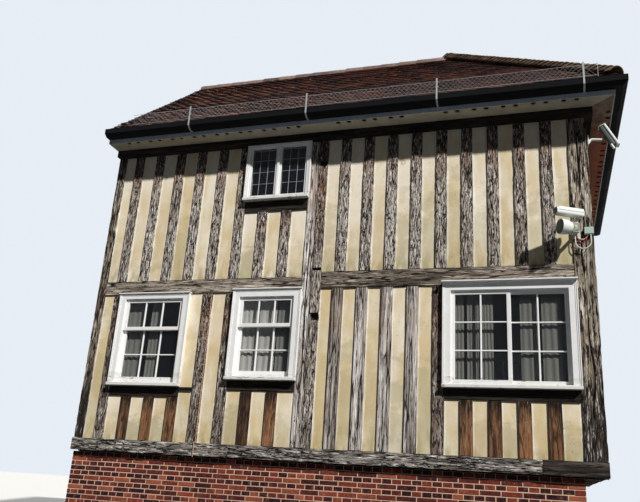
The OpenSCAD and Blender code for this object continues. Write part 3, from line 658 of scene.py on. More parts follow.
class Value:
    """A number or vector in a shader tree, on which plain arithmetic adds math nodes."""

    def __init__(self, graph: "Graph", socket: Socket) -> None:
        """Wrap an output socket of a graph."""
        self.graph, self.socket = graph, socket

    def __add__(self, other: object) -> "Value":
        """Return the sum."""
        return self.graph.math("ADD", self, other)

    def __sub__(self, other: object) -> "Value":
        """Return the difference."""
        return self.graph.math("SUBTRACT", self, other)

    def __mul__(self, other: object) -> "Value":
        """Return the product."""
        return self.graph.math("MULTIPLY", self, other)

    def most(self, other: object) -> "Value":
        """Return the greater of both."""
        return self.graph.math("MAXIMUM", self, other)

    def spread(self, low: object, high: object, to_low: float = 0,
               to_high: float = 1) -> "Value":
        """Map the range from low to high to another one, and hold it at both ends."""
        return self.graph.value("ShaderNodeMapRange", "Result", Value=self, From_Min=low,
                                From_Max=high, To_Min=to_low, To_Max=to_high)


class Graph:
    """Short calls that add linked nodes to a shader tree."""

    def __init__(self, tree: bpy.types.NodeTree) -> None:
        """Work on the given tree."""
        self.tree = tree

    def lead(self, value: object, socket: Socket) -> None:
        """Link a value or an output to an input socket, or set it to a plain number."""
        value = value.socket if isinstance(value, Value) else opaque(value)
        if isinstance(value, Socket):
            self.tree.links.new(value, socket)
        else:
            socket.default_value = value

    def add(self, kind: str, **inputs: object) -> bpy.types.Node:
        """Add a node, and lead values to the inputs named, with _ for a space."""
        node = self.tree.nodes.new(kind)
        for key, value in inputs.items():
            self.lead(value, node.inputs[key.replace("_", " ")])
        return node

    def value(self, kind: str, output: str, **inputs: object) -> Value:
        """Add a node as add does, and return its output of the given name."""
        return Value(self, self.add(kind, **inputs).outputs[output])

    def math(self, kind: str, first: object, second: object) -> Value:
        """Add a math node of the given kind."""
        node = self.add("ShaderNodeMath")
        node.operation = kind
        self.lead(first, node.inputs[0])
        self.lead(second, node.inputs[1])
        return Value(self, node.outputs[0])

    def noise(self, vector: object, scale: float, detail: float = 2, rough: float = 0.5,
              distortion: float = 0) -> Value:
        """Add a noise texture."""
        return self.value("ShaderNodeTexNoise", "Fac", Vector=vector, Scale=scale,
                          Detail=detail, Roughness=rough, Distortion=distortion)

    def place(self, scale: Colour) -> Value:
        """Return Object coordinates, stretched by a scale for each axis."""
        node = self.add("ShaderNodeMapping", Vector=self.value("ShaderNodeTexCoord", "Object"))
        node.inputs["Scale"].default_value = scale
        return Value(self, node.outputs["Vector"])

    def axis(self, name: str) -> Value:
        """Return one Object coordinate by its name, X, Y or Z."""
        return self.value("ShaderNodeSeparateXYZ", name, Vector=self.place((1.0, 1.0, 1.0)))

    def field(self, scale: Colour, detail: float = 2, rough: float = 0.5,
              distortion: float = 0) -> Value:
        """Add a noise texture on Object coordinates, stretched by a scale for each axis."""
        return self.noise(self.place(scale), 1.0, detail, rough, distortion)

    def mark(self, name: str) -> Value:
        """Return a piece's point mark of the given name."""
        node = self.add("ShaderNodeAttribute")
        node.attribute_name = name
        return Value(self, node.outputs["Fac"])

    def ray(self, *kinds: str) -> Value:
        """Return 1 for rays of any of the kinds named, such as Camera."""
        outputs = self.add("ShaderNodeLightPath").outputs
        return reduce(Value.most, (Value(self, outputs["Is %s Ray" % kind]) for kind in kinds))

    def mix(self, share: Value, first: object, second: object) -> Socket:
        """Mix two colours."""
        node = self.add("ShaderNodeMix")
        node.data_type = "RGBA"
        for value, number in ((share, 0), (first, 6), (second, 7)):
            self.lead(value, node.inputs[number])
        return node.outputs[2]

    def layered(self, colour: object, *layers: tuple[Value, Colour]) -> object:
        """Lay further colours over the first, each by its share, and return the result."""
        for share, over in layers:
            colour = self.mix(share, colour, over)
        return colour

    def apply(self, effect: "Effect", vector: Value, **values: float) -> dict[str, Value]:
        """Place an effect with its own values, and return its outputs by name."""
        node = self.add("ShaderNodeGroup")
        node.node_tree = effect.tree
        for key, value in {"Vector": vector, **values}.items():
            self.lead(value, node.inputs[key])
        return {socket.name: Value(self, socket) for socket in node.outputs}


class Effect(Graph):
    """A shader node group that is built once and placed in many materials."""

    def __init__(self, name: str, inputs: dict[str, float], outputs: tuple[str, ...]) -> None:
        """Open a group that takes a Vector and numbers, and gives out numbers.

        Args:
            name: the group's name.
            inputs: number sockets and their first values.
            outputs: number sockets.
        """
        super().__init__(bpy.data.node_groups.new(name, "ShaderNodeTree"))
        sockets = self.tree.interface
        sockets.new_socket("Vector", in_out="INPUT", socket_type="NodeSocketVector")
        for key, value in inputs.items():
            made = sockets.new_socket(key, in_out="INPUT", socket_type="NodeSocketFloat")
            made.default_value = value
        for key in outputs:
            sockets.new_socket(key, in_out="OUTPUT", socket_type="NodeSocketFloat")
        given = self.add("NodeGroupInput").outputs
        self.given = {key: Value(self, given[key]) for key in ("Vector", *inputs)}
        self.result = self.add("NodeGroupOutput")

    def give(self, **values: Value) -> None:
        """Lead values to the group's outputs."""
        for key, value in values.items():
            self.lead(value, self.result.inputs[key])


def grain_effect() -> Effect:
    """Weathered grain on a stretched vector: fissures, cracks, flakes, patches, a height."""
    effect = Effect("Weathered grain", {"Sharpness": 0.07, "Level": 0.49},
                    ("Fissure", "Crack", "Flake", "Patch", "Height"))
    vector, level = effect.given["Vector"], effect.given["Level"]
    coarse = effect.noise(vector, 1.0, 4, 0.66, 0.1)
    blended = coarse * 0.62 + effect.noise(vector, 2.7, 3, 0.65, 0.1) * 0.38
    bent = effect.add("ShaderNodeVectorMath")
    effect.lead(vector, bent.inputs[0])
    effect.lead(coarse * 1.6, bent.inputs[1])
    cells = effect.add("ShaderNodeTexVoronoi", Vector=bent.outputs["Vector"], Scale=0.42)
    cells.feature = "DISTANCE_TO_EDGE"
    crack = Value(effect, cells.outputs["Distance"]).spread(0.03, 0.085, 1, 0)
    effect.give(
        Fissure=blended.spread(level, level - effect.given["Sharpness"]),
        Crack=crack * effect.noise(vector, 0.3, 2).spread(0.42, 0.52),
        Flake=effect.noise(vector, 1.45, 4, 0.66, 0.15).spread(0.51, 0.59),
        Patch=effect.noise(vector, 0.45, 2, 0.5, 0.2).spread(0.38, 0.62),
        Height=blended - crack * 0.25)
    return effect


def mottle_effect() -> Effect:
    """Mottling: a broad cloud, a fine speckle and a height, on any vector."""
    effect = Effect("Mottle", {}, ("Cloud", "Speck", "Height"))
    cloud = effect.noise(effect.given["Vector"], 1.0, 3, 0.55, 0.2)
    speck = effect.noise(effect.given["Vector"], 14.0, 2, 0.6)
    effect.give(Cloud=cloud.spread(0.35, 0.65), Speck=speck.spread(0.6, 0.72),
                Height=cloud + speck * 0.4)
    return effect


GRAIN = grain_effect()
MOTTLE = mottle_effect()


# Finishes


class Surface(Graph):
    """The node tree of a new material, with its surface shader."""

    def __init__(self, name: str) -> None:
        """Open the material of the given name."""
        self.material = bpy.data.materials.new(name)
        self.material.use_nodes = True
        super().__init__(self.material.node_tree)
        self.shader = self.tree.nodes["Principled BSDF"]

    def mottled(self, *scale: float) -> dict[str, Value]:
        """Place the mottling on Object coordinates, stretched by a scale for each axis."""
        return self.apply(MOTTLE, self.place(scale))

    def close(self, colour: object, rough: object, gloss: float, height: Value,
              strength: float, distance: float, **others: object) -> Material:
        """Lead all that a finish needs to the shader.

        Args:
            colour: its colour.
            rough: its roughness.
            gloss: its specular level.
            height: the height that its bumps follow.
            strength: strength of the bumps.
            distance: depth of the bumps.
            others: further inputs of the shader, with _ for a space.

        Returns:
            The material.
        """
        bump = self.add("ShaderNodeBump", Strength=strength, Distance=distance, Height=height)
        for key, value in {"Base_Color": colour, "Roughness": rough, "Specular_IOR_Level": gloss,
                           "Normal": bump.outputs["Normal"], **others}.items():
            self.lead(value, self.shader.inputs[key.replace("_", " ")])
        return self.material


class Run(Enum):
    """The direction of a timber's grain."""

    UP = "z"
    ALONG = "x"
    INTO = "y"


@dataclass(frozen=True)
class Oak:
    """Weathered oak: bleached flakes and black cracks over a grain that runs one way.

    The dark colour also stands for painted shade in the hollows of the fissures and along
    the arrises. The head of an upright timber may be of another colour, and may have painted
    shade at its top; its foot may be darkened by a painted cast shadow.
    """

    pale: Colour
    middle: Colour
    dark: Colour
    flake: Colour
    run: Run
    fissured: float
    flaked: float
    cracked: float
    width: float
    length: float
    relief: float
    sharp: float = 0.05
    level: float = 0.455
    head: Colour = (0.34, 0.18, 0.10)
    headed: float = 0.0
    footed: float = 0.0

    def mixed(self, surface: Surface) -> Material:
        """Return the finish as a material."""
        k = AXES.index(self.run.value)
        scale, broad = [1 / self.width] * 3, [0.12 / self.width] * 3
        scale[k], broad[k] = 1 / self.length, 0.25 / self.length
        grain = surface.apply(GRAIN, surface.place(tuple(scale)), Sharpness=self.sharp,
                              Level=self.level)
        zone = surface.field(tuple(broad), 2, 0.6, 0.5).spread(0.37, 0.63)
        along = surface.mark("along")
        patch = (grain["Patch"] + zone) * 0.5 + surface.mark("tone").spread(0, 1, -0.35, 0.35)
        layers = [(patch.spread(0, 1), self.pale)]
        if self.headed:
            head = along.spread(0.58, 0.82, 0, self.headed) * zone.spread(0, 1, 0.4, 1)
            # painted shade: the top of an upright timber darkens towards the timber above it
            top_shade = along.spread(0.82, 0.92, 0, 0.8 * self.headed)
            layers += [(head, self.head), (top_shade, self.dark)]
        if self.footed:
            # painted cast shadow: the foot of the timber darkens towards the bottom
            foot = along + zone.spread(0, 1, -0.03, 0.03)
            layers.append((foot.spread(0.13, 0.23, self.footed, 0), self.dark))
        colour = surface.layered(
            self.middle, *layers,
            (grain["Flake"] * patch.spread(0.15, 0.8, 0.1, self.flaked), self.flake),
            (grain["Fissure"] * self.fissured, self.dark),
            (grain["Crack"] * self.cracked, self.dark),
            # painted shade: darker in the hollows of the fissures and along the arrises of the
            # bar
            (surface.mark("cavity").spread(0.35, 1.0, 0, 0.9), self.dark),
            (surface.mark("rim").spread(0, 0.5, 0.7, 0), self.dark))
        return surface.close(colour, 0.85, 0.05, grain["Height"], 0.9, self.relief)


@dataclass(frozen=True)
class Plaster:
    """Limewashed plaster: pale clouds, tan and stained at the foot, grey where damp."""

    wash: Colour
    deep: Colour
    tan: Colour
    damp: Colour
    stain: Colour
    fresh: Colour = (0.94, 0.90, 0.80)
    speck: Colour = (0.12, 0.09, 0.06)

    def mixed(self, surface: Surface) -> Material:
        """Return the finish as a material."""
        mottle = surface.mottled(5.5, 5.5, 2.4)
        tone, along = surface.mark("tone"), surface.mark("along")
        cloud = mottle["Cloud"] * 0.75 + tone.spread(0, 1, -0.40, 0.55)
        warm = (surface.field((3.1, 3.1, 1.7), 3, 0.6, 0.4).spread(0.43, 0.60)
                * along.spread(0.1, 0.85, 0.9, 0.15) * tone.spread(0, 1, 0.6, 1))
        border = surface.mark("rim") + surface.field(
            (24.0, 24.0, 3.0), 3, 0.6).spread(0.3, 0.7, -0.2, 0.2)
        wet = surface.field((4.0, 4.0, 6.0), 3, 0.6).spread(0.3, 0.7, 0.25, 0.95) - along
        wet = wet + tone.spread(0, 1, -0.30, 0.15)
        wet = wet.spread(-0.12, 0.14) * surface.mark("damp")
        foot = along.spread(0.0, 0.20, 1, 0) * surface.field(
            (14.0, 14.0, 6.0), 3).spread(0.42, 0.6)
        specks = surface.field((55.0, 55.0, 55.0), 2, 0.6).spread(0.69, 0.74)
        colour = surface.layered(
            self.wash, (cloud.spread(0, 1), self.deep), (warm, self.tan),
            (border.spread(0.55, 0.85, 0.85, 0), self.fresh), (wet * 0.7, self.damp),
            (foot * 0.7, self.stain), (specks * 0.8, self.speck))
        return surface.close(colour, 0.92, 0.05, mottle["Height"], 0.5, 0.006)


@dataclass(frozen=True)
class Fired:
    """Fired clay, such as brick or tile: colours by a mark, with growth and flecks on top."""

    colours: tuple[Colour, ...]
    growth: Colour
    grown: float
    mottled: float
    relief: float
    fleck: Colour
    flecked: float

    def mixed(self, surface: Surface) -> Material:
        """Return the finish as a material."""
        mottle = surface.mottled(*(self.mottled,) * 3)
        value = surface.mark("tone") + mottle["Cloud"].spread(0, 1, -0.14, 0.14)
        ramp = surface.add("ShaderNodeValToRGB", Fac=value)
        stops = ramp.color_ramp.elements
        while len(stops) < len(self.colours):
            stops.new(0.5)
        places = np.linspace(0, 1, len(self.colours))
        for stop, place, colour in zip(stops, places, self.colours):
            stop.position = place
            stop.color = opaque(colour)
        patch = surface.field((6.0, 6.0, 6.0), 4, 0.7).spread(0.5, 0.66)
        fleck = surface.field((19.0, 19.0, 19.0), 3, 0.7).spread(0.55, 0.66, 0, self.flecked)
        colour = surface.layered(
            ramp.outputs["Color"], (patch * mottle["Cloud"] * self.grown, self.growth),
            (fleck, self.fleck),
            (mottle["Speck"] * 0.35, tuple(0.35 * part for part in self.colours[0])))
        return surface.close(colour, 0.88, 0.06, mottle["Height"], 0.6, self.relief)


@dataclass(frozen=True)
class Coat:
    """A painted, moulded or metal surface with a little dirt on it."""

    colour: Colour
    dirt: Colour
    dirty: float
    rough: float
    metal: float = 0.0
    scale: float = 8.0
    relief: float = 0.0008
    gloss: float = 0.4

    def mixed(self, surface: Surface) -> Material:
        """Return the finish as a material."""
        mottle = surface.mottled(*(self.scale,) * 3)
        colour = surface.layered(self.colour, (mottle["Cloud"] * (self.dirty * 0.6), self.dirt),
                                 (mottle["Speck"] * self.dirty, self.dirt))
        rough = mottle["Cloud"].spread(0, 1, self.rough, self.rough + 0.15)
        return surface.close(colour, rough, self.gloss, mottle["Height"], 0.5, self.relief,
                             Metallic=self.metal)


@dataclass(frozen=True)
class TwoCoats:
    """Paint that changes to another one past a place along Y, dirty near the change."""

    near: Colour
    far: Colour
    dirt: Colour
    until: float
    fade: float = 0.25

    def mixed(self, surface: Surface) -> Material:
        """Return the finish as a material."""
        mottle = surface.mottled(9.0, 9.0, 9.0)
        place = surface.axis("Y") + mottle["Cloud"].spread(0, 1, -self.fade, self.fade)
        dirty = mottle["Cloud"] * place.spread(self.until, self.until + 0.9, 0.75, 0.3)
        colour = surface.layered(
            self.near, (place.spread(self.until - 0.04, self.until + 0.04), self.far),
            (dirty, self.dirt))
        return surface.close(colour, 0.75, 0.2, mottle["Height"], 0.4, 0.001)


@dataclass(frozen=True)
class OldPaint:
    """White paint that has flaked and gone grey in level bands, such as at the cills."""

    colour: Colour
    dirt: Colour
    bare: Colour
    bands: tuple[tuple[float, float], ...]

    def mixed(self, surface: Surface) -> Material:
        """Return the finish as a material."""
        height, band = surface.axis("Z"), 0.0
        for low, high in self.bands:
            here = height.spread(low - 0.01, low) * height.spread(high, high + 0.01, 1, 0)
            band = here.most(band)
        mottle = surface.mottled(9.0, 9.0, 9.0)
        flake = surface.field((11.0, 11.0, 45.0), 4, 0.65, 0.6)
        flake = (flake + band.spread(0, 1, -0.16, 0.0)).spread(0.60, 0.64)
        colour = surface.layered(
            self.colour, (mottle["Cloud"] * 0.10 + band * 0.22, self.dirt), (flake, self.bare))
        return surface.close(colour, mottle["Cloud"].spread(0, 1, 0.42, 0.57), 0.35,
                             mottle["Height"] - flake, 0.5, 0.0015)


@dataclass(frozen=True)
class Pane:
    """Old window glass: a gloss over a tint that is denser past a place along Y.

    Light passes it almost unhindered, and only the view through it is tinted. Past the place,
    at the back windows, the tint is nearly opaque: painted shade that darkens the view through
    the house.
    """

    tint: Colour
    dense: tuple[float, float]
    until: float
    gloss: float = 0.16

    def mixed(self, surface: Surface) -> Material:
        """Return the finish as a material."""
        density = surface.axis("Y").spread(self.until, self.until + 0.01, *self.dense)
        return surface.close(self.tint, 0.04, self.gloss, surface.field((5.0, 5.0, 5.0), 1), 0.5,
                             0.002, Alpha=density * surface.ray("Shadow").spread(0, 1, 1, 0.1))


@dataclass(frozen=True)
class Net:
    """Thin curtain cloth with a fine weave of threads."""

    colour: Colour

    def mixed(self, surface: Surface) -> Material:
        """Return the finish as a material."""
        weave = surface.field((900.0, 900.0, 60.0), 1) + surface.field((60.0, 60.0, 900.0), 1)
        dull = tuple(0.82 * part for part in self.colour)
        colour = surface.mix(weave.spread(0.7, 1.3), self.colour, dull)
        return surface.close(colour, 0.95, 0.5, weave, 0.3, 0.0006, Sheen_Weight=0.3)


# near black of cracks, also the colour of painted shade in fissures, along arrises and at stud
# tops
CRACK_AND_SHADE_BLACK, SILVER, UMBER = (0.016, 0.013, 0.012), (0.60, 0.54, 0.48), (0.205, 0.153, 0.122)


class Finish(Enum):
    """Every finish: its material's name in capitals, the record's slot and the mix."""

    OAK_OLD = "oak_weathered", Oak(
        SILVER, UMBER, CRACK_AND_SHADE_BLACK, (0.92, 0.89, 0.84), Run.UP, 1.0, 1.0, 1.0, 0.014, 0.11, 0.006,
        0.02, 0.492, headed=0.9)
    OAK_NEW = "oak_weathered", Oak(
        (0.70, 0.65, 0.61), (0.28, 0.235, 0.205), (0.018, 0.014, 0.012), (0.94, 0.93, 0.91),
        Run.UP, 0.95, 1.0, 1.0, 0.018, 0.34, 0.006, 0.03, 0.465, (0.42, 0.25, 0.16), 0.4)
    # the short studs' near-black head colour is painted shade under the window timbers and cills
    # above them
    OAK_WARM = "oak_weathered", Oak(
        (0.28, 0.132, 0.064), (0.052, 0.031, 0.021), (0.009, 0.007, 0.006), (0.42, 0.28, 0.17),
        Run.UP, 0.6, 0.5, 0.65, 0.020, 0.17, 0.004, head=(0.03, 0.018, 0.014), headed=0.9)
    # the corner posts' dark foot is a painted cast shadow
    OAK_POST = "oak_weathered", Oak(
        (0.45, 0.38, 0.30), (0.13, 0.094, 0.066), CRACK_AND_SHADE_BLACK, (0.88, 0.84, 0.77), Run.UP, 1.0, 0.9,
        1.0, 0.022, 0.22, 0.010, 0.03, 0.49, footed=0.85)
    OAK_SILL = "oak_sill", Oak(
        (0.38, 0.35, 0.315), (0.095, 0.081, 0.067), CRACK_AND_SHADE_BLACK, (0.84, 0.81, 0.77), Run.ALONG, 1.0,
        1.0, 1.0, 0.017, 0.17, 0.010, 0.03, 0.485)
    OAK_SILL_END = "oak_sill", replace(OAK_SILL[1], run=Run.INTO)
    # the new sill's dark colour is partly its own and partly painted shade from a cast shadow
    OAK_SILL_NEW = "oak_sill", Oak(
        (0.085, 0.070, 0.060), (0.030, 0.025, 0.021), (0.008, 0.007, 0.006),
        (0.22, 0.19, 0.17), Run.ALONG, 0.9, 0.4, 0.9, 0.020, 0.28, 0.006)
    OAK_RAIL = "oak_dark", Oak(
        (0.40, 0.34, 0.28), (0.085, 0.065, 0.050), (0.010, 0.008, 0.007), (0.74, 0.66, 0.57),
        Run.ALONG, 1.0, 1.0, 1.0, 0.017, 0.26, 0.007, 0.03, 0.475)
    OAK_RAIL_END = "oak_dark", replace(OAK_RAIL[1], run=Run.INTO)
    # near-black oak: dark timber darkened further as painted shade, for the plates under the
    # eaves and the timbers under the cills
    OAK_PLATE = "oak_dark", Oak(
        (0.050, 0.042, 0.036), (0.020, 0.017, 0.015), (0.006, 0.005, 0.005),
        (0.12, 0.105, 0.09), Run.ALONG, 0.8, 0.4, 0.8, 0.016, 0.30, 0.006)
    OAK_PLATE_END = "oak_dark", replace(OAK_PLATE[1], run=Run.INTO)
    SAWN_BOARD = "softwood", Oak(
        (0.40, 0.28, 0.17), (0.30, 0.20, 0.12), (0.14, 0.09, 0.055), (0.44, 0.32, 0.20),
        Run.ALONG, 0.4, 0.3, 0.2, 0.02, 0.5, 0.002)
    PLASTER = "plaster", Plaster(
        (0.91, 0.84, 0.70), (0.73, 0.59, 0.35), (0.66, 0.49, 0.26), (0.42, 0.39, 0.24),
        (0.36, 0.32, 0.16))
    BRICK = "brick", Fired(
        ((0.020, 0.010, 0.014), (0.080, 0.020, 0.019), (0.20, 0.041, 0.026),
         (0.37, 0.11, 0.060)), (0.05, 0.030, 0.027), 0.5, 30.0, 0.004, (0.40, 0.16, 0.09), 0.3)
    MORTAR = "brick", Coat(
        (0.68, 0.48, 0.36), (0.27, 0.17, 0.12), 0.5, 0.9, 0.0, 30.0, 0.003, 0.05)
    CLAY_TILE = "clay_tile", Fired(
        ((0.024, 0.018, 0.022), (0.072, 0.043, 0.042), (0.140, 0.068, 0.056),
         (0.29, 0.12, 0.075)), (0.18, 0.165, 0.15), 0.5, 22.0, 0.004, (0.34, 0.15, 0.085), 0.55)
    RIDGE_CLAY = "ridge_clay", Fired(
        ((0.10, 0.070, 0.066), (0.20, 0.14, 0.125), (0.34, 0.25, 0.22)), (0.40, 0.34, 0.28),
        0.5, 18.0, 0.004, (0.36, 0.20, 0.14), 0.4)
    HIP_CLAY = "ridge_clay", Fired(
        ((0.050, 0.036, 0.030), (0.12, 0.085, 0.060), (0.22, 0.15, 0.10)), (0.34, 0.31, 0.20),
        0.8, 14.0, 0.005, (0.30, 0.15, 0.08), 0.4)
    WHITE_PAINT = "white_paint", OldPaint(
        (0.86, 0.87, 0.87), (0.40, 0.38, 0.34), (0.30, 0.26, 0.22),
        ((1.80, 1.90), (1.915, 1.995), (4.30, 4.40)))
    # the back windows' glass is nearly opaque dark: painted shade that darkens the view through
    # the house
    OLD_GLASS = "glass", Pane((0.010, 0.013, 0.017), (0.37, 0.9), -1.9)
    LEAD_CAME = "glass", Coat((0.42, 0.44, 0.46), (0.20, 0.21, 0.22), 0.4, 0.6)
    # one net in two copies: a dim one as painted shade, and a pale one as painted sunlight on
    # lit strips
    NET_CURTAIN = "curtain", Net((0.37, 0.375, 0.34))
    NET_PALE = "curtain", Net((0.97, 0.97, 0.92))
    SOFFIT_CREAM = "soffit_paint", Coat(
        (0.66, 0.61, 0.48), (0.20, 0.16, 0.11), 0.4, 0.7, 0.0, 5.0, 0.0008, 0.1)
    SOFFIT_BROWN = "soffit_paint", TwoCoats(
        (0.36, 0.27, 0.20), (0.36, 0.115, 0.060), (0.10, 0.050, 0.035), -1.65)
    FASCIA_GREY = "fascia_paint", Coat(
        (0.62, 0.70, 0.80), (0.16, 0.18, 0.21), 0.4, 0.6, 0.0, 4.0, 0.0008, 0.1)
    GUTTER_BLACK = "gutter_iron", Coat(
        (0.005, 0.006, 0.007), (0.018, 0.018, 0.018), 0.4, 0.7, 0.0, 5.0, 0.0008, 0.05)
    GALVANISED = "galvanised", Coat(
        (0.42, 0.43, 0.44), (0.20, 0.20, 0.21), 0.5, 0.6, 0.2, 40.0)
    CAMERA_WHITE = "camera_white", Coat(
        (0.76, 0.80, 0.77), (0.42, 0.42, 0.39), 0.12, 0.35, 0.0, 14.0, 0.0004, 0.3)
    CAMERA_GLASS = "camera_white", Coat((0.016, 0.030, 0.024), (0.03, 0.045, 0.04), 0.2, 0.45)
    CAMERA_GREY = "camera_grey", Coat(
        (0.54, 0.55, 0.47), (0.14, 0.14, 0.12), 0.4, 0.6, 0.1, 20.0)
    # near-black coat: painted shade on the eaves camera's body under its hood, also the dark
    # core of the lamp's fins and the arm's joint
    CAMERA_BODY = "camera_white", Coat((0.05, 0.065, 0.06), (0.10, 0.12, 0.11), 0.3, 0.5)
    BOX_GREEN = "box_green", Coat((0.42, 0.55, 0.49), (0.24, 0.29, 0.26), 0.3, 0.5)
    CABLE_WHITE = "cable_white", Coat(
        (0.82, 0.79, 0.71), (0.28, 0.25, 0.21), 0.4, 0.5, 0.0, 30.0)
    RED_WIRE = "cable_white", Coat((0.42, 0.035, 0.05), (0.2, 0.03, 0.03), 0.2, 0.4)
    CABLE_BROWN = "cable_brown", Coat(
        (0.50, 0.31, 0.21), (0.20, 0.10, 0.07), 0.45, 0.6, 0.0, 30.0)
    RUSTY_IRON = "gutter_iron", Coat(
        (0.10, 0.055, 0.04), (0.26, 0.10, 0.045), 0.6, 0.7, 0.1, 60.0)

    @property
    def slot(self) -> str:
        """The record's material slot."""
        return self.value[0]

    @cached_property
    def material(self) -> Material:
        """The finish as a material, mixed when it is first asked for."""
        return self.value[1].mixed(Surface(self.name.lower()))


# Masonry


@dataclass
class Brickwork:
    """The brick plinths and the party wall, with every brick of the outer skin."""

    course: float = 0.058
    pitch: float = 0.225
    joint: float = 0.010
    skin: float = 0.1025
    recess: float = 0.006
    bevel: float = 0.004
    burnt: float = 0.45

    def courses(self, length: float, height: float, corners: tuple[bool, bool],
                first_header: int, seed: int) -> tuple[Array, Array]:
        """Lay a wall in English bond.

        Rows of headers and of stretchers alternate. At a corner of the house the rows of
        headers stop short by one brick's width, because there the other face's stretcher
        shows its end.

        Args:
            length: the wall's length.
            height: its height.
            corners: whether it has a corner of the house at its start and at its end.
            first_header: number of the lowest row of headers, 0 or 1.
            seed: number for the bricks' small differences.

        Returns:
            The bricks' lowest and highest corners along, up and outwards.
        """
        rng = np.random.default_rng(seed)
        lows, highs = [], []
        for row in range(int(np.ceil(height / self.course))):
            header = row % 2 == first_header
            stops = (self.skin + self.joint) * header * np.array(corners)
            left, right = stops[0], length - stops[1]
            pitch, shift = (self.pitch / 2, self.pitch / 4) if header else (self.pitch, 0)
            cut = np.arange(left + pitch - shift, right, pitch)
            edges = np.concatenate([[left], cut[right - cut > self.pitch / 5], [right]])
            ends = edges[1:] - self.joint * (edges[1:] < right - 1e-6)
            bed = row * self.course
            lows.append(xyz(edges[:-1], bed, -self.skin))
            highs.append(xyz(ends, bed + self.course - self.joint, 0.0))
        low, high = np.concatenate(lows), np.concatenate(highs)
        high[:, 1] = np.minimum(high[:, 1], height)
        keep = (high - low)[:, :2].min(axis=1) > 3 * self.bevel
        low, high = low[keep], high[keep]
        low[:, :2] += rng.uniform(-0.0015, 0.0015, (len(low), 2)) * (low[:, :2] > 0.01)
        high[:, 2] -= rng.uniform(0, 0.0025, len(low))
        return low, high

    def wall(self, bricks: tuple[Array, Array], turn: Array, origin: Array,
             seed: int) -> Shape:
        """Turn laid bricks into a shape, with a fired tone for each and burnt headers."""
        low, high = bricks
        rng = np.random.default_rng(seed)
        tone = np.clip(rng.normal(0.55, 0.24, len(low)), 0, 1)
        short = (high - low)[:, 0] < 0.6 * self.pitch
        burnt = short & (rng.random(len(low)) < self.burnt)
        tone = np.where(burnt, tone * 0.35, tone)
        return bevelled_blocks(low, high, self.bevel, turn, origin).marked(
            tone=np.repeat(tone, 12))

    def plinth(self, side: Side) -> None:
        """Build one plinth wall: the bricks of its outer face before a bed of mortar."""
        node, at_end = side.name.lower() + "_plinth", side is Side.END
        box, out, seed = node_box(node), side.outward, len(node) + 7
        turn = np.stack([np.abs(np.cross(UP, out)), UP, out])
        origin, length = np.where(out > 0, box.hi, box.lo), box.size[0]
        by = [-self.recess, -self.recess, 0]
        if at_end:
            by[1] = self.recess
            origin[1] = node_box("front_plinth").lo[1]
            length = node_box("back_plinth").hi[1] - origin[1]
        bricks = self.courses(length, box.size[2], (at_end, True), int(at_end), seed)
        bed = bar(box.grown(by), "x", {}, Wear(arris=0.001, step=4.0), 1).finished(1)
        make_piece(node + "_bricks", [self.wall(bricks, turn, origin, seed + 1), bed],
                   [Finish.BRICK, Finish.MORTAR], node)

    def party_wall(self) -> None:
        """Build the party wall, whose bricks stop at the slopes of the gable."""
        box, points = node_box("party_wall"), node_points("party_wall")
        top = points[points[:, 2] > box.hi[2] - FLAT].mean(axis=0)
        eaves = points[points[:, 1] < box.lo[1] + FLAT, 2].max()
        rise = (box.hi[2] - eaves) / (top[1] - box.lo[1])
        low, high = self.courses(box.size[1], box.size[2], (False, False), 0, 77)
        reach = np.maximum(0, (high[:, 1] - (eaves - box.lo[2])) / rise) + 0.004
        low[:, 0] = np.maximum(low[:, 0], reach)
        high[:, 0] = np.minimum(high[:, 0], box.size[1] - reach)
        keep = high[:, 0] - low[:, 0] > 0.03
        turn = np.eye(3)[[1, 2, 0]] * [[1], [1], [-1]]
        wall = self.wall((low[keep], high[keep]), turn, box.lo, 78)
        places, corners = merged("party_wall")
        places[np.abs(places[:, 0] - box.lo[0]) < FLAT, 0] += self.recess
        bed = Shape(places, np.zeros((0, 4), dtype=np.int64), corners, 1)
        make_piece("party_wall_bricks", [wall, bed], [Finish.BRICK, Finish.MORTAR],
                   "party_wall")

    def build(self) -> None:
        """Build all the masonry."""
        for side in Side:
            self.plinth(side)
        self.party_wall()


# The frame and its panels


class Age(Enum):
    """What a stud is like, as the number of its finish."""

    OLD = 0
    NEW = 1
    WARM = 2


WARM_TONES = {5.784: 0.4, 5.448: 0.9, 5.112: 1.0, 4.104: 0.0, 3.768: 0.75, 1.441: 0.9,
              1.128: 0.35, 0.816: 1.0, 0.503: 0.45}
LOWER_STUDS = {6.12: (Age.OLD, 0.3), 4.776: (Age.OLD, 0.3), 4.44: (Age.OLD, 0.15),
               3.003: (Age.NEW, 0.15), 2.691: (Age.NEW, 1.0), 2.378: (Age.NEW, 0.5),
               2.066: (Age.NEW, 0.65), 1.753: (Age.OLD, 0.0)}


def nearest(table: dict[float, object], place: float) -> object:
    """Return a table's entry for the known place that is nearest to the given one."""
    return table[min(table, key=lambda known: abs(known - place))]


def is_lower(box: Box) -> bool:
    """Tell whether a solid belongs to the ground floor."""
    return box.centre[2] < HOUSE.centre[2]


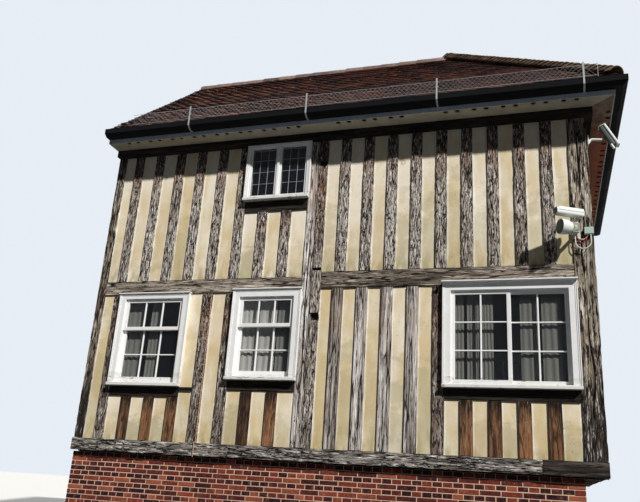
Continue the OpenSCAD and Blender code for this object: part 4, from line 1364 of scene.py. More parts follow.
@dataclass
class TimberFrame:
    """Sills, posts, rails, plates and studs, each worn in its own way."""

    old: Wear = Wear(arris=0.009, fissure=0.008, broad=0.005, edge=0.010, step=0.020,
                     grain=(0.018, 0.10))
    new: Wear = Wear(arris=0.006, fissure=0.002, broad=0.003, edge=0.004, step=0.03,
                     grain=(0.016, 0.4))
    unseen: Wear = Wear(arris=0.008, fissure=0.006, broad=0.004, edge=0.005, step=0.05)
    post: Wear = Wear(arris=0.012, fissure=0.010, broad=0.007, split=0.03, edge=0.006,
                      step=0.022, grain=(0.030, 0.14))
    sill: Wear = Wear(arris=0.018, fissure=0.016, broad=0.012, eaten=0.030, edge=0.006,
                      step=0.014, grain=(0.026, 0.12))
    new_sill: Wear = Wear(arris=0.014, fissure=0.004, broad=0.006, eaten=0.020, edge=0.006,
                          step=0.02, grain=(0.03, 0.3))
    rail: Wear = Wear(arris=0.010, fissure=0.006, broad=0.007, eaten=0.008, edge=0.008,
                      step=0.025, grain=(0.022, 0.25))
    columns: int = 15
    columns_unseen: int = 9
    columns_under: int = 8
    columns_beside: int = 6
    ledge_l: float = 0.192
    ledge_h: float = 0.048

    def level(self, node: str, side: Side | None, wear: Wear, finish: Finish,
              seed: int) -> None:
        """Build the level beams of a node, which lie in one wall or, for None, in several."""
        shapes = []
        for number, box in enumerate(solids_of(node)):
            shown = side or side_of(box)
            fine = {shown.value: self.columns, "-z": 4, "+z": 3}
            if side in (Side.FRONT, Side.BACK):
                fine["+x"] = self.columns_beside
            shape = bar(box, shown.across, fine, wear, seed + number)
            shapes.append(shape.marked(tone=0.25 + (seed * 7 + number * 3) % 10 / 20))
        make_piece(node + "_worn", shapes, [finish], node)

    def posts(self) -> None:
        """Build the corner posts and the middle posts with their empty mortices."""
        shapes = []
        for number, box in enumerate(solids_of("corner_posts")):
            at_end = box.hi[0] > HOUSE.hi[0] - SIDE_REACH
            fine = {side_of(box).value: self.columns,
                    "+x" if at_end else "-x": self.columns if at_end else self.columns_beside}
            shapes.append(bar(box, "z", fine, self.post, 40 + number).marked(tone=0.42))
        make_piece("corner_posts_worn", shapes, [Finish.OAK_POST], "corner_posts")
        sockets = [Box.of(*one["box_m"]) for one in frame["record"]["physics"]["openings"]
                   if one["name"].startswith("mortice")]
        shapes = []
        for number, box in enumerate(solids_of("middle_posts")):
            side = side_of(box)
            held = tuple(Box(np.maximum(one.lo, box.lo), one.hi) for one in sockets
                         if side is Side.FRONT and box.lo[0] < one.centre[0] < box.hi[0])
            wear = self.old if held else self.post
            shape = bar(box, "z", {side.value: self.columns}, wear, 50 + number, held)
            shapes.append(shape.finished(0 if held else 1).marked(tone=0.4 if held else 0.5))
        make_piece("middle_posts_worn", shapes, [Finish.OAK_OLD, Finish.OAK_NEW],
                   "middle_posts")

    def age_of(self, box: Box, side: Side, rng: np.random.Generator) -> tuple[Age, float]:
        """Tell how a stud has aged.

        Short studs under the windows are warm. On the front's ground floor the places of
        renewed studs are known, and elsewhere every fifth stud is one.

        Args:
            box: the stud's box.
            side: its wall.
            rng: random numbers for what isn't known.

        Returns:
            The stud's age and its tone from 0, dark, to 1, pale.
        """
        chance, tone = rng.random(), rng.random()
        lower, from_corner = is_lower(box), HOUSE.hi[0] - box.centre[0]
        if lower and box.size[2] < 1.0:
            return Age.WARM, nearest(WARM_TONES, from_corner) if side is Side.FRONT else tone
        if lower and side is Side.FRONT:
            return nearest(LOWER_STUDS, from_corner)
        if not lower and side is Side.FRONT:
            return Age.OLD, 0.45 + 0.55 * tone
        return (Age.NEW if chance < 0.2 else Age.OLD), tone

    def studs(self, node: str, side: Side, seed: int) -> None:
        """Build the studs of one wall."""
        rng = np.random.default_rng(seed)
        shapes = []
        for number, box in enumerate(solids_of(node)):
            age, tone = self.age_of(box, side, rng)
            wear, columns = self.old if age is Age.OLD else self.new, self.columns
            if side is not Side.FRONT:
                wear, columns = self.unseen, self.columns_unseen
            shape = bar(box, "z", {side.value: columns}, wear, seed + number)
            shapes.append(shape.finished(age.value).marked(tone=tone))
        make_piece(side.name.lower() + "_studs_worn", shapes,
                   [Finish.OAK_OLD, Finish.OAK_NEW, Finish.OAK_WARM], node)

    def window_timbers(self) -> None:
        """Build the timbers that carry the windows."""
        shapes = []
        for number, box in enumerate(solids_of("window_timbers")):
            side = side_of(box)
            fine = {side.value: self.columns_under}
            shape = bar(box, side.across, fine, self.rail, 90 + number)
            shapes.append(shape.finished(int(side is Side.END)).marked(tone=0.2))
        # the window timbers and the side ledge take the near-black oak: painted shade under the
        # cills
        make_piece("window_timbers_worn", shapes, [Finish.OAK_PLATE, Finish.OAK_PLATE_END],
                   "window_timbers")
        first = solids_of("window_timbers")[0]
        ledge = Box.of([first.hi[0], first.lo[1] - 0.004, first.hi[2] - self.ledge_h],
                       [first.hi[0] + self.ledge_l, first.lo[1] + 0.014, first.hi[2]])
        shape = bar(ledge, "x", {"-y": 5}, self.rail, 97).marked(tone=0.0)
        make_piece("side_ledge", [shape], [Finish.OAK_PLATE])

    def build(self) -> None:
        """Build the whole frame."""
        front, back, end = Side
        for node, side, wear, finish, seed in (
                ("front_sill", front, self.sill, Finish.OAK_SILL, 11),
                ("new_sill", front, self.new_sill, Finish.OAK_SILL_NEW, 12),
                ("back_sill", back, self.sill, Finish.OAK_SILL, 13),
                ("end_sill", end, self.sill, Finish.OAK_SILL_END, 14),
                ("front_rails", front, self.rail, Finish.OAK_RAIL, 21),
                ("back_rails", back, self.rail, Finish.OAK_RAIL, 23),
                ("end_rail", end, self.rail, Finish.OAK_RAIL_END, 24),
                # the plates take the near-black oak: painted shade under the eaves
                ("long_plates", None, self.rail, Finish.OAK_PLATE, 25),
                ("end_plate", end, self.rail, Finish.OAK_PLATE_END, 26)):
            self.level(node, side, wear, finish, seed)
        self.posts()
        self.studs("front_studs", front, 100)
        self.studs("back_studs", back, 200)
        self.studs("end_wall_studs", end, 300)
        self.window_timbers()
        dress(Finish.SAWN_BOARD, "rafter_plates")


@dataclass
class Panels:
    """Plaster panels between the studs, each a little uneven."""

    uneven: Wear = Wear(arris=0.004, broad=0.004, step=0.06, grain=(0.12, 0.2))
    tuck: float = 0.014
    recess: float = 0.007
    columns: int = 6

    def build(self) -> None:
        """Build the panels of the three walls."""
        for seed, side in enumerate(Side, 5):
            rng, node = np.random.default_rng(seed), side.name.lower() + "_infill"
            by = [0.0, 0.0, 0.004]
            by[AXES.index(side.across)] = self.tuck
            shapes = []
            for number, box in enumerate(solids_of(node)):
                shape = bar(box.grown(by), "z", {side.value: self.columns}, self.uneven,
                            500 + number)
                shape.points -= side.outward * self.recess
                tone = rng.random() * 0.7 + 0.3 * is_lower(box)
                damp = rng.random() * (1.0 if box.size[2] < 1.0 else 0.7)
                shapes.append(shape.marked(tone=tone, damp=damp))
            make_piece(node + "_plaster", shapes, [Finish.PLASTER], node)


# Windows


@dataclass
class Windows:
    """Painted frames, sashes and casements with their glazing bars, leads and glass."""

    arris: float = 0.004
    pane_h: float = 0.345
    bar_w: float = 0.021
    bar_d: float = 0.026
    bar_arris: float = 0.006
    level_share: float = 0.8
    came_w: float = 0.006
    came_d: float = 0.006
    came_arris: float = 0.0025
    came_step: float = 0.18
    stile: float = 0.046
    casement_stile: float = 0.027
    cill_out: float = 0.036
    cill_h: float = 0.050
    fillet_w: float = 0.013
    fillet_out: float = 0.009
    step_w: float = 0.018
    step_out: float = 0.004
    drip_h: float = 0.013
    drip_over: float = 0.008
    drip_back: float = 0.05
    drips: tuple[float, ...] = (0.025, 0.025, 0.0, 0.055)

    def bars_of(self, box: Box, width: float, depth: float, rim: float, columns: int,
                rows: int, arris: float) -> list[Shape]:
        """Return the bars that divide a sash or casement.

        Args:
            box: the sash's box.
            width: width of a bar.
            depth: depth of a bar.
            rim: width of the sash's own stiles.
            columns: panes side by side.
            rows: panes above each other.
            arris: how far the bars' edges are rounded.

        Returns:
            One shape a bar.
        """
        across = side_of(box).across
        u = AXES.index(across)
        w = 1 - u
        low, high = box.lo + rim, box.hi - rim
        low[w], high[w] = box.centre[w] - depth / 2, box.centre[w] + depth / 2
        shapes = []
        for axis, count, run, half in ((u, columns, "z", width / 2),
                                       (2, rows, across, width / 2 * self.level_share)):
            for place in np.linspace(low[axis], high[axis], count + 1)[1:-1]:
                a, b = low.copy(), high.copy()
                a[axis], b[axis] = place - half, place + half
                shapes.append(bar(Box(a, b), run, {}, Wear(arris=arris, step=3.0), 7))
        return shapes

    def sashes(self, node: str) -> None:
        """Build the sashes of a node with their glazing bars."""
        softened(node, node + "_painted", Finish.WHITE_PAINT, self.arris)
        shapes = []
        for box in solids_of(node):
            wide = box.size[AXES.index(side_of(box).across)] > 0.5
            columns = 3 if box.size[2] < 0.8 or wide and box.size[2] < 1.0 else 2
            rows = max(1, round(box.size[2] / self.pane_h))
            shapes += self.bars_of(box, self.bar_w, self.bar_d, self.stile, columns, rows,
                                   self.bar_arris)
        make_piece(node + "_painted_bars", shapes, [Finish.WHITE_PAINT])

    def casements(self) -> None:
        """Build the casements with their leads."""
        softened("casements", "casements_painted", Finish.WHITE_PAINT, self.arris)
        shapes = []
        for box in solids_of("casements"):
            rows = round((box.size[2] - 2 * self.casement_stile) / self.came_step)
            shapes += self.bars_of(box, self.came_w, self.came_d, self.casement_stile, 3, rows,
                                   self.came_arris)
        make_piece("casement_leads", shapes, [Finish.LEAD_CAME])

    def trim(self) -> None:
        """Build the raised fillets and the drip boards of the front windows.

        A fillet runs up both sides and over the head, along the frame's outer edge, with
        a lower step beside it. A drip board lies on the head.
        """
        wear = Wear(arris=0.002, edge=0.0008, step=0.2)
        shapes = []
        for number, box in enumerate(solids_of("front_window_frames")):
            face = box.lo[1] + self.cill_out
            for inset, width, proud in ((0.0, self.fillet_w, self.fillet_out),
                                        (self.fillet_w, self.step_w, self.step_out)):
                low = [box.lo[0] + inset, face - proud, box.lo[2] + self.cill_h]
                high = [box.hi[0] - inset, face + 0.002, box.hi[2] - inset]
                left, right, head = (Box.of(low, high) for part in range(3))
                left.hi[0] = low[0] + width
                right.lo[0] = high[0] - width
                head.lo[2] = high[2] - width
                for part, (run, strip) in enumerate((("z", left), ("z", right), ("x", head))):
                    shapes.append(bar(strip, run, {}, wear, 20 + number * 3 + part))
            drip = self.drips[number]
            if drip:
                board = Box.of(
                    [box.lo[0] - self.drip_over, face - drip, box.hi[2] - 0.001],
                    [box.hi[0] + self.drip_over, face + self.drip_back, box.hi[2] + self.drip_h])
                shapes.append(bar(board, "x", {}, wear, 60 + number))
        make_piece("window_trim", shapes, [Finish.WHITE_PAINT])

    def build(self) -> None:
        """Build every window."""
        for node in ("front_window_frames", "back_window_frames", "end_window_frames"):
            softened(node, node + "_painted", Finish.WHITE_PAINT, self.arris)
        self.sashes("outer_sashes")
        self.sashes("inner_sashes")
        self.casements()
        self.trim()
        dress(Finish.OLD_GLASS, "window_glass")


@dataclass
class Curtains:
    """Net curtains at each lower front window, gathered into upright folds."""

    spans: tuple[tuple[tuple[float, float], ...], ...] = (
        ((0.02, 0.30), (0.42, 0.62)), ((0.02, 0.31), (0.34, 0.66), (0.69, 0.98)),
        ((0.004, 0.105), (0.135, 0.235), (0.265, 0.36), (0.59, 0.73), (0.77, 0.98)))
    fold: float = 0.070
    depth: float = 0.005
    columns_per_fold: int = 10
    rows: int = 24

    def cloth(self, box: Box, start: float, end: float, seed: int) -> tuple[Shape, float]:
        """Return one curtain and its width before it was gathered.

        The cloth stands at y = middle + depth * sin(2 pi (x / fold + slow noise)), and
        the folds grow a little towards the hem.

        Args:
            box: the box that the curtains of the window stand in.
            start: its first edge along X.
            end: its last edge along X.
            seed: number that makes its folds differ.

        Returns:
            The shape and the flat width of the cloth.
        """
        folds = max(3, round((end - start) / self.fold))
        columns = folds * self.columns_per_fold + 1
        across, up = np.meshgrid(np.linspace(0, 1, columns), np.linspace(0, 1, self.rows))
        slow = 0.35 * lattice_noise(xyz(across * folds / 2, up * 1.3, float(seed)), seed)
        turn = 2 * np.pi * (across * folds + slow)
        reach = self.depth * (1.0 - 0.35 * up)
        points = xyz(start + (end - start) * across + 0.006 * slow,
                     box.centre[1] + reach * np.sin(turn), box.lo[2] + box.size[2] * up)
        steps = np.linalg.norm(np.diff(points, axis=1), axis=-1).sum(axis=1)
        faces = grid_quads(self.rows, columns, False)
        return Shape(points.reshape(-1, 3), faces), float(steps.mean())

    def build(self) -> None:
        """Hang the curtains."""
        boxes = solids_of("curtains")
        for number, (box, spans) in enumerate(zip(boxes, self.spans)):
            for strip, span in enumerate(spans):
                start, end = box.lo[0] + np.array(span) * box.size[0]
                shape, flat = self.cloth(box, start, end, number * 2 + strip)
                # the first two strips of the second window take the pale net as painted
                # sunlight, the others the dim net as painted shade
                sunlit_cloth = number == 1 and strip < 2
                cloth = Finish.NET_PALE if sunlit_cloth else Finish.NET_CURTAIN
                piece = make_piece("curtain_%d_%d" % (number, strip), [shape], [cloth])
                float(box.size[2])
        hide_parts("curtains")


# Roof


@dataclass
class Slope:
    """One slope of the roof: its eaves line, its directions and its limits."""

    origin: Array
    along: Array
    up: Array
    low: tuple[float, float]
    high: tuple[float, float]
    height: float

    @property
    def out(self) -> Array:
        """Direction square to the slope."""
        return np.cross(self.along, self.up)


def slopes() -> dict[str, Slope]:
    """Read the three slopes from the construction's tile layers.

    Returns:
        The front, back and end slope by their node's name.
    """
    front = node_points("front_tiles")
    end_y = front[:, 1].min()
    edge = front[np.abs(front[:, 1] - end_y) < FLAT]
    corner = edge[edge[:, 2] > edge[:, 2].max() - FLAT]
    left, right = corner[:, 0].min(), corner[:, 0].max()
    eaves_z = edge[:, 2].max()
    ridge = front[front[:, 2] > front[:, 2].max() - FLAT]
    apex = ridge[np.argmax(ridge[:, 0])]
    run_y, rise, run_x = apex[1] - end_y, apex[2] - eaves_z, right - apex[0]
    height, end_height = float(np.hypot(run_y, rise)), float(np.hypot(run_x, rise))
    full, top = right - left, apex[0] - left
    up, end_up = np.array([0, run_y, rise]) / height, np.array([-run_x, 0, rise]) / end_height
    x, y, _ = np.eye(3)
    return {
        "front_tiles": Slope(np.array([left, end_y, eaves_z]), x, up, (0, full), (0, top),
                             height),
        "back_tiles": Slope(np.array([right, 2 * apex[1] - end_y, eaves_z]), -x,
                            up * [1, -1, 1], (0, full), (full - top, full), height),
        "end_tiles": Slope(np.array([right, end_y, eaves_z]), y, end_up, (0, 2 * run_y),
                           (run_y, run_y), end_height),
    }


@dataclass
class Tiling:
    """Plain clay tiles laid in courses, each with a camber and its own lie."""

    gauge: float = 0.100
    pitch: float = 0.168
    gap: float = 0.003
    length: float = 0.165
    thick: float = 0.012
    camber: float = 0.004
    layer: float = 0.035
    sag: float = 0.007
    side_play: float = 0.002
    tail_play: float = 0.003
    twist: float = 0.0025
    lift: float = 0.002
    raised: float = 0.006
    raised_share: float = 0.07

    def course_tiles(self, slope: Slope, seed: int) -> Shape:
        """Lay the tiles of one slope.

        A tile is a plate of four columns. Its tail lies at the top of the layer and its
        head falls by one thickness a gauge, its middle stands up by the camber, and the
        slope's outline cuts it.

        Args:
            slope: the slope to cover.
            seed: number for the tiles' small differences.

        Returns:
            All the tiles as one shape.
        """
        rng = np.random.default_rng(seed)
        rows = int(slope.height / self.gauge)
        across = int(slope.low[1] / self.pitch) + 2
        row, column = np.meshgrid(np.arange(rows), np.arange(across), indexing="ij")
        row, column = row.ravel(), column.ravel()

        def play(size: float) -> Array:
            """Draw a difference within plus or minus a size for each tile."""
            return rng.uniform(-size, size, len(row))

        start = (column - 0.5 * (row % 2)) * self.pitch + play(self.side_play)
        tail = row * self.gauge + play(self.tail_play) * (row > 0)
        tail = np.maximum(tail, 0)
        share = np.linspace(0, 1, 4)
        rise = self.camber * (1 - (2 * share - 1) ** 2)
        twist = play(self.twist)
        lift = play(self.lift) + self.raised * (rng.random(len(row)) < self.raised_share)
        u = start[:, None] + self.gap / 2 + share * (self.pitch - self.gap)
        head = np.minimum(tail + self.length, slope.height)
        grid_u, grid_v = np.stack([u, u], axis=1), np.stack([tail, head], axis=1)[..., None]
        grid_v = grid_v + 0 * grid_u
        grid_v[:, 0] += twist[:, None] * (2 * share - 1)
        fall = (grid_v - tail[:, None, None]) / self.gauge * self.thick
        top = rise - self.camber + lift[:, None, None] - fall
        limits = (low + (high - low) * grid_v / slope.height
                  for low, high in zip(slope.low, slope.high))
        grid_u = np.clip(grid_u, *limits)
        keep = np.ptp(grid_u, axis=(1, 2)) > 0.02
        bend = self.sag * lattice_noise(
            xyz(grid_u / 1.3, grid_v / 1.1, float(seed)), seed) - self.sag
        upper = xyz(grid_u, grid_v, top + bend)[keep].reshape(-1, 8, 3)
        local = np.concatenate([upper, upper - UP * self.thick], axis=1)
        cell = np.array([[0, 1, 5, 4], [1, 2, 6, 5], [2, 3, 7, 6]])
        front = np.array([[8, 9, 1, 0], [9, 10, 2, 1], [10, 11, 3, 2]])
        back = np.array([[4, 5, 13, 12], [5, 6, 14, 13], [6, 7, 15, 14]])
        sides = np.array([[12, 8, 0, 4], [3, 11, 15, 7]])
        faces = np.concatenate([cell, cell[:, ::-1] + 8, front, back, sides])
        turn = np.stack([slope.along, slope.up, slope.out])
        shape = Shape(local.reshape(-1, 3) @ turn + slope.origin,
                      for_each(faces, len(local), 16))
        patch = lattice_noise(xyz(start / 0.7, tail / 0.5, 0.0), seed + 9)
        tone = np.clip(rng.normal(0.42, 0.26, len(row)) + 0.16 * patch, 0, 1)[keep]
        return shape.marked(tone=np.repeat(tone, 16))

    def build(self) -> None:
        """Tile the three slopes and dress the boards under them."""
        for seed, (node, slope) in enumerate(slopes().items()):
            shape = self.course_tiles(slope, seed + 31)
            make_piece(node + "_laid", [shape], [Finish.CLAY_TILE], node)
        dress(Finish.SAWN_BOARD, "front_roof", "back_roof", "end_roof")


@dataclass
class RidgeAndHips:
    """Half round ridge tiles and bonnet hip tiles that lap each other."""

    ridge_pitch: float = 0.31
    hip_pitch: float = 0.100
    hip_length: float = 0.19
    hip_radius: float = 0.118
    hip_head: float = 0.085
    thick: float = 0.016
    around: int = 13
    sunk: float = 0.030
    hip_sunk: float = 0.062
    hip_spread: float = 72
    hip_tilt: float = 0.026

    def caps(self, places: Array, axes: Array, length: float,
             radii: tuple[float, float], spread: float, tilt: float, seed: int) -> Shape:
        """Build lapped half pipes along a line.

        A cap is an arc of the outer radius, joined to one that is a thickness smaller,
        carried from its tail to its head while both radii shrink.

        Args:
            places: the tails' places along the line.
            axes: three rows, the directions along, to the side and out.
            length: length of a cap.
            radii: outer radius at the tail and at the head.
            spread: half of the arc's angle in degrees.
            tilt: height of the tail over the head.
            seed: number for small differences.

        Returns:
            The caps as one shape, from the line's zero point.
        """
        rng = np.random.default_rng(seed)
        angle = np.radians(np.linspace(-spread, spread, self.around))
        angle = np.concatenate([angle, angle[::-1]])
        inner = np.repeat([0, 1], self.around)
        stations = np.array([0, 0.04, 0.5, 1.0])[:, None]
        size = radii[0] + (radii[1] - radii[0]) * stations - self.thick * inner
        size[0] -= 0.003 * (1 - 2 * inner)
        local = xyz(stations * length, size * np.sin(angle),
                    size * np.cos(angle) + tilt * (1 - stations))
        count, across = len(places), 2 * self.around
        rings = local[None] + 0 * places[:, None, None, None]
        rings[..., 0] += places[:, None, None]
        rings[..., 1:] += rng.uniform(-0.003, 0.003, (count, 1, 1, 2))
        strip = np.arange(self.around - 1)
        start_cap = xyz(strip, across - 1 - strip, across - 2 - strip, strip + 1)
        end_cap = 3 * across + xyz(strip, strip + 1, across - 2 - strip, across - 1 - strip)
        faces = np.concatenate([grid_quads(4, across, True), start_cap, end_cap])
        quads = for_each(faces, count, 4 * across)
        if np.linalg.det(axes) > 0:
            quads = quads[:, ::-1]
        tone = np.repeat(np.clip(rng.normal(0.5, 0.22, count), 0, 1), 4 * across)
        return Shape(rings.reshape(-1, 3) @ axes, quads).marked(tone=tone)

    def build(self) -> None:
        """Lay the ridge and both hips."""
        found = slopes()
        front, end = found["front_tiles"], found["end_tiles"]
        row = node_box("ridge_tiles")
        radius = row.size[1] / 2
        count = int(np.ceil(row.size[0] / self.ridge_pitch)) + 1
        places = row.size[0] + 0.11 - np.arange(count)[::-1] * self.ridge_pitch
        places = np.maximum(places - self.ridge_pitch, 0)
        shape = self.caps(places, np.eye(3), self.ridge_pitch + 0.02,
                          (radius, radius - 0.008), 90, 0.0, 3)
        shape.points += np.array([row.lo[0], row.centre[1], row.lo[2] - self.sunk])
        make_piece("ridge_tiles_laid", [shape], [Finish.RIDGE_CLAY], "ridge_tiles")
        apex = front.origin + front.up * front.height + front.along * front.high[1]
        shapes = []
        for seed, mirror in enumerate((1, -1)):
            foot = end.origin.copy()
            if mirror < 0:
                foot[1] = 2 * apex[1] - foot[1]
            line = unit(apex - foot)
            flank = unit(np.cross(UP, line))
            axes = np.stack([line, flank, np.cross(line, flank)])
            places = np.arange(0.02, np.linalg.norm(apex - foot) - 0.06, self.hip_pitch)
            hip = self.caps(places, axes, self.hip_length, (self.hip_radius, self.hip_head),
                            self.hip_spread, self.hip_tilt, 8 + seed)
            hip.points += foot - axes[2] * self.hip_sunk
            shapes.append(hip)
        make_piece("hip_tiles_laid", shapes, [Finish.HIP_CLAY], "hip_tiles")


# Eaves


@dataclass
class Eaves:
    """Soffit, fascia and gutter, with the snow guard that stands on the gutter."""

    arris: float = 0.002
    mesh_pitch: float = 0.058
    mesh_wire: float = 0.0011
    mesh_play: float = 0.004
    mesh_apart: float = 0.001
    upright: float = 0.19
    upright_wire: float = 0.0025

    def build(self) -> None:
        """Build the eaves and the guard."""
        softened("soffit", "soffit_boards", Finish.SOFFIT_CREAM, self.arris)
        softened("fascia", "fascia_boards", Finish.FASCIA_GREY, self.arris)
        softened("gutter", "gutter_run", Finish.GUTTER_BLACK, self.arris)
        self.brown_end()
        dress(Finish.GALVANISED, "guard_brackets", "guard_wires")
        self.guard()

    def brown_end(self) -> None:
        """Give the soffit of the end wall its brown paint."""
        mesh = bpy.data.objects["soffit_boards"].data
        mesh.materials.append(Finish.SOFFIT_BROWN.material)
        centres = np.empty(len(mesh.polygons) * 3)
        mesh.polygons.foreach_get("center", centres)
        centres = centres.reshape(-1, 3)
        out_x = centres[:, 0] - HOUSE.hi[0]
        out_y = np.maximum(HOUSE.lo[1] - centres[:, 1], centres[:, 1] - HOUSE.hi[1])
        mesh.polygons.foreach_set("material_index", ((out_x > out_y) & (out_x > 0)).astype(int))

    def guard(self) -> None:
        """Weave the guard's wire between its two long wires."""
        low, high = sorted(solids_of("guard_wires"), key=lambda box: box.lo[2])
        y, bottom, top = low.centre[1], low.centre[2], high.centre[2]
        rise = top - bottom
        starts = np.arange(low.lo[0] - rise, low.hi[0], self.mesh_pitch)
        rng = np.random.default_rng(4)
        starts = starts + rng.uniform(-self.mesh_play, self.mesh_play, len(starts))
        shapes = []
        for lean in (1, -1):
            first = xyz(starts, y + self.mesh_apart * lean, bottom if lean > 0 else top)
            last = first + np.array([rise, 0, lean * rise])
            inside = (first[:, 0] > low.lo[0]) & (last[:, 0] < low.hi[0])
            shapes.append(rods(first[inside], last[inside], self.mesh_wire))
        posts = np.array([[low.hi[0] - 0.004, y, bottom - 0.02]])
        shapes.append(rods(posts, posts + [[0, 0, self.upright]], self.upright_wire, 8))
        make_piece("guard_mesh", shapes, [Finish.GALVANISED])


# Cameras, cables and small ironwork


HOUSING = np.array([0.330, 0.100, 0.092])
HOUSING_RINGS = np.array([(-0.5, 0.90), (-0.495, 0.96), (-0.47, 1.0), (0.0, 1.0), (0.47, 1.0),
                          (0.495, 0.97), (0.5, 0.93)])
GLASS_IN = 0.003


def housing(centre: Array, axes: Array, size: Array, power: float = 0.55,
            flat: float = 0.42) -> Shape:
    """Build a camera's housing: a superellipse with a flat underside, carried forwards.

    The section is y = sgn(cos t) |cos t|^power w / 2, z = sgn(sin t) |sin t|^power h / 2.
    HOUSING_RINGS gives each ring's place and size as shares of the length and the section.

    Args:
        centre: its middle.
        axes: three rows, the directions forwards, sideways and up.
        size: its length, width w and height h.
        power: the power, which is smaller for squarer corners.
        flat: depth of the underside below the middle, as a share of the height.

    Returns:
        The closed housing.
    """
    length, width, height = size
    cos, sin = circle(40)
    side = np.sign(cos) * np.abs(cos) ** power * width / 2
    up = np.sign(sin) * np.abs(sin) ** power * height / 2
    up = np.where(up < 0, np.maximum(up, -flat * height), up)
    stations, scale = HOUSING_RINGS.T[..., None]
    return capped_rings(xyz(stations * length, scale * side, scale * up) @ axes + centre)


def front_glass(axes: Array, at: Array, edge: float, radius: float) -> Shape:
    """Build the round glass of a camera's front, in the dark finish."""
    profile = [(0, 0.0), (0.001, edge), (0.004, radius), (0.006, radius)]
    return turned(profile, axes, at).finished(1)


@dataclass
class CornerCamera:
    """A hooded housing over a round lamp, on a ribbed block and a wall bracket."""

    turn: float = 29.0
    lamp_d: float = 0.176
    lamp_l: float = 0.138
    lamp_ahead: float = 0.012
    fins: int = 8
    fin_pitch: float = 0.0150
    fin_w: float = 0.115
    fin_reach: float = 0.088
    fin_half: float = 0.003
    core_half: float = 0.026
    wire: float = 0.0022
    wire_drops: tuple[tuple[float, float], ...] = ((0.075, 0.0), (0.110, 0.012))

    def build(self) -> None:
        """Build the camera, its lamp, bracket, junction box and cables."""
        case, lamp = sorted(solids_of("corner_camera"), key=lambda box: -box.lo[2])
        turn = np.radians(self.turn)
        forward = -np.array([np.cos(turn), np.sin(turn), 0])
        axes = np.stack([forward, [np.sin(turn), -np.cos(turn), 0], UP])
        body = housing(case.centre, axes, HOUSING)
        front = case.centre + forward * (HOUSING[0] / 2 - GLASS_IN)
        window = front_glass(axes, front, 0.040, 0.043)
        window.points[:, 2] = case.centre[2] + (window.points[:, 2] - case.centre[2]) * 0.85
        hood = housing(case.centre - forward * 0.008 + [0, 0, 0.010], axes,
                       HOUSING * [0.92, 1.08, 0.94])
        hood.points[:, 2] = np.maximum(hood.points[:, 2], case.centre[2] + 0.004)
        half, r = self.lamp_l / 2, self.lamp_d / 2
        ahead = lamp.centre + forward * self.lamp_ahead
        shell = turned([(-half, 0.55 * r), (-half * 0.9, 0.72 * r), (-half * 0.3, 0.93 * r),
                        (half * 0.6, r), (half, r), (half, 0.93 * r), (half - 0.012, 0.90 * r),
                        (half - 0.012, 0.2 * r)], axes, ahead)
        glass = turned([(half - 0.016, 0.85 * r), (half - 0.006, 0.89 * r),
                        (half - 0.002, 0.6 * r), (half, 0.1 * r)], axes, ahead).finished(1)
        make_piece("corner_camera_body", [body, hood, window, shell, glass],
                   [Finish.CAMERA_WHITE, Finish.CAMERA_GLASS], "corner_camera", crease=30)
        softened("corner_camera_bracket", "corner_camera_arm", Finish.CAMERA_GREY, 0.002)
        back = ahead - forward * (0.86 * half + self.fin_reach)
        level = (np.arange(self.fins) - (self.fins - 1) / 2) * self.fin_pitch
        wide = 0.5 * np.sqrt(np.maximum(0, 1 - (2 * level / self.lamp_d) ** 2)) * self.fin_w
        plates = bevelled_blocks(xyz(0.0, -wide, level - self.fin_half),
                                 xyz(self.fin_reach, wide, level + self.fin_half), 0.001,
                                 axes, back)
        core = block([0.012, -self.core_half, level[0]],
                     [self.fin_reach, self.core_half, level[-1]], axes, back)
        make_piece("lamp_fins", [plates, core.finished(1)],
                   [Finish.CAMERA_GREY, Finish.CAMERA_BODY])
        softened("junction_box", "junction_box_lid", Finish.BOX_GREEN, 0.006)
        dress(Finish.CABLE_WHITE, "camera_cables")
        self.red_wires()

    def red_wires(self) -> None:
        """Hang two thin wires beside the loops, from the lamp's arm to the box."""
        box, arm = node_box("junction_box"), node_box("corner_camera_bracket")
        y = box.lo[1] + 0.006
        ends = np.array([[arm.centre[0] + 0.02, y, arm.lo[2] + 0.03],
                         [box.lo[0] + 0.03, y, box.lo[2] + 0.004]])
        shapes = []
        for drop, lean in self.wire_drops:
            low = ends.mean(axis=0) + [lean, -0.004, -drop]
            route = smooth_path([ends[0], ends[0] + [0.012 + lean, 0, -drop * 0.7], low,
                                 ends[1] + [-0.010, 0, -drop * 0.6], ends[1]], 7)
            shapes.append(swept_tube(route, self.wire, 6))
        make_piece("lamp_wires", shapes, [Finish.RED_WIRE])


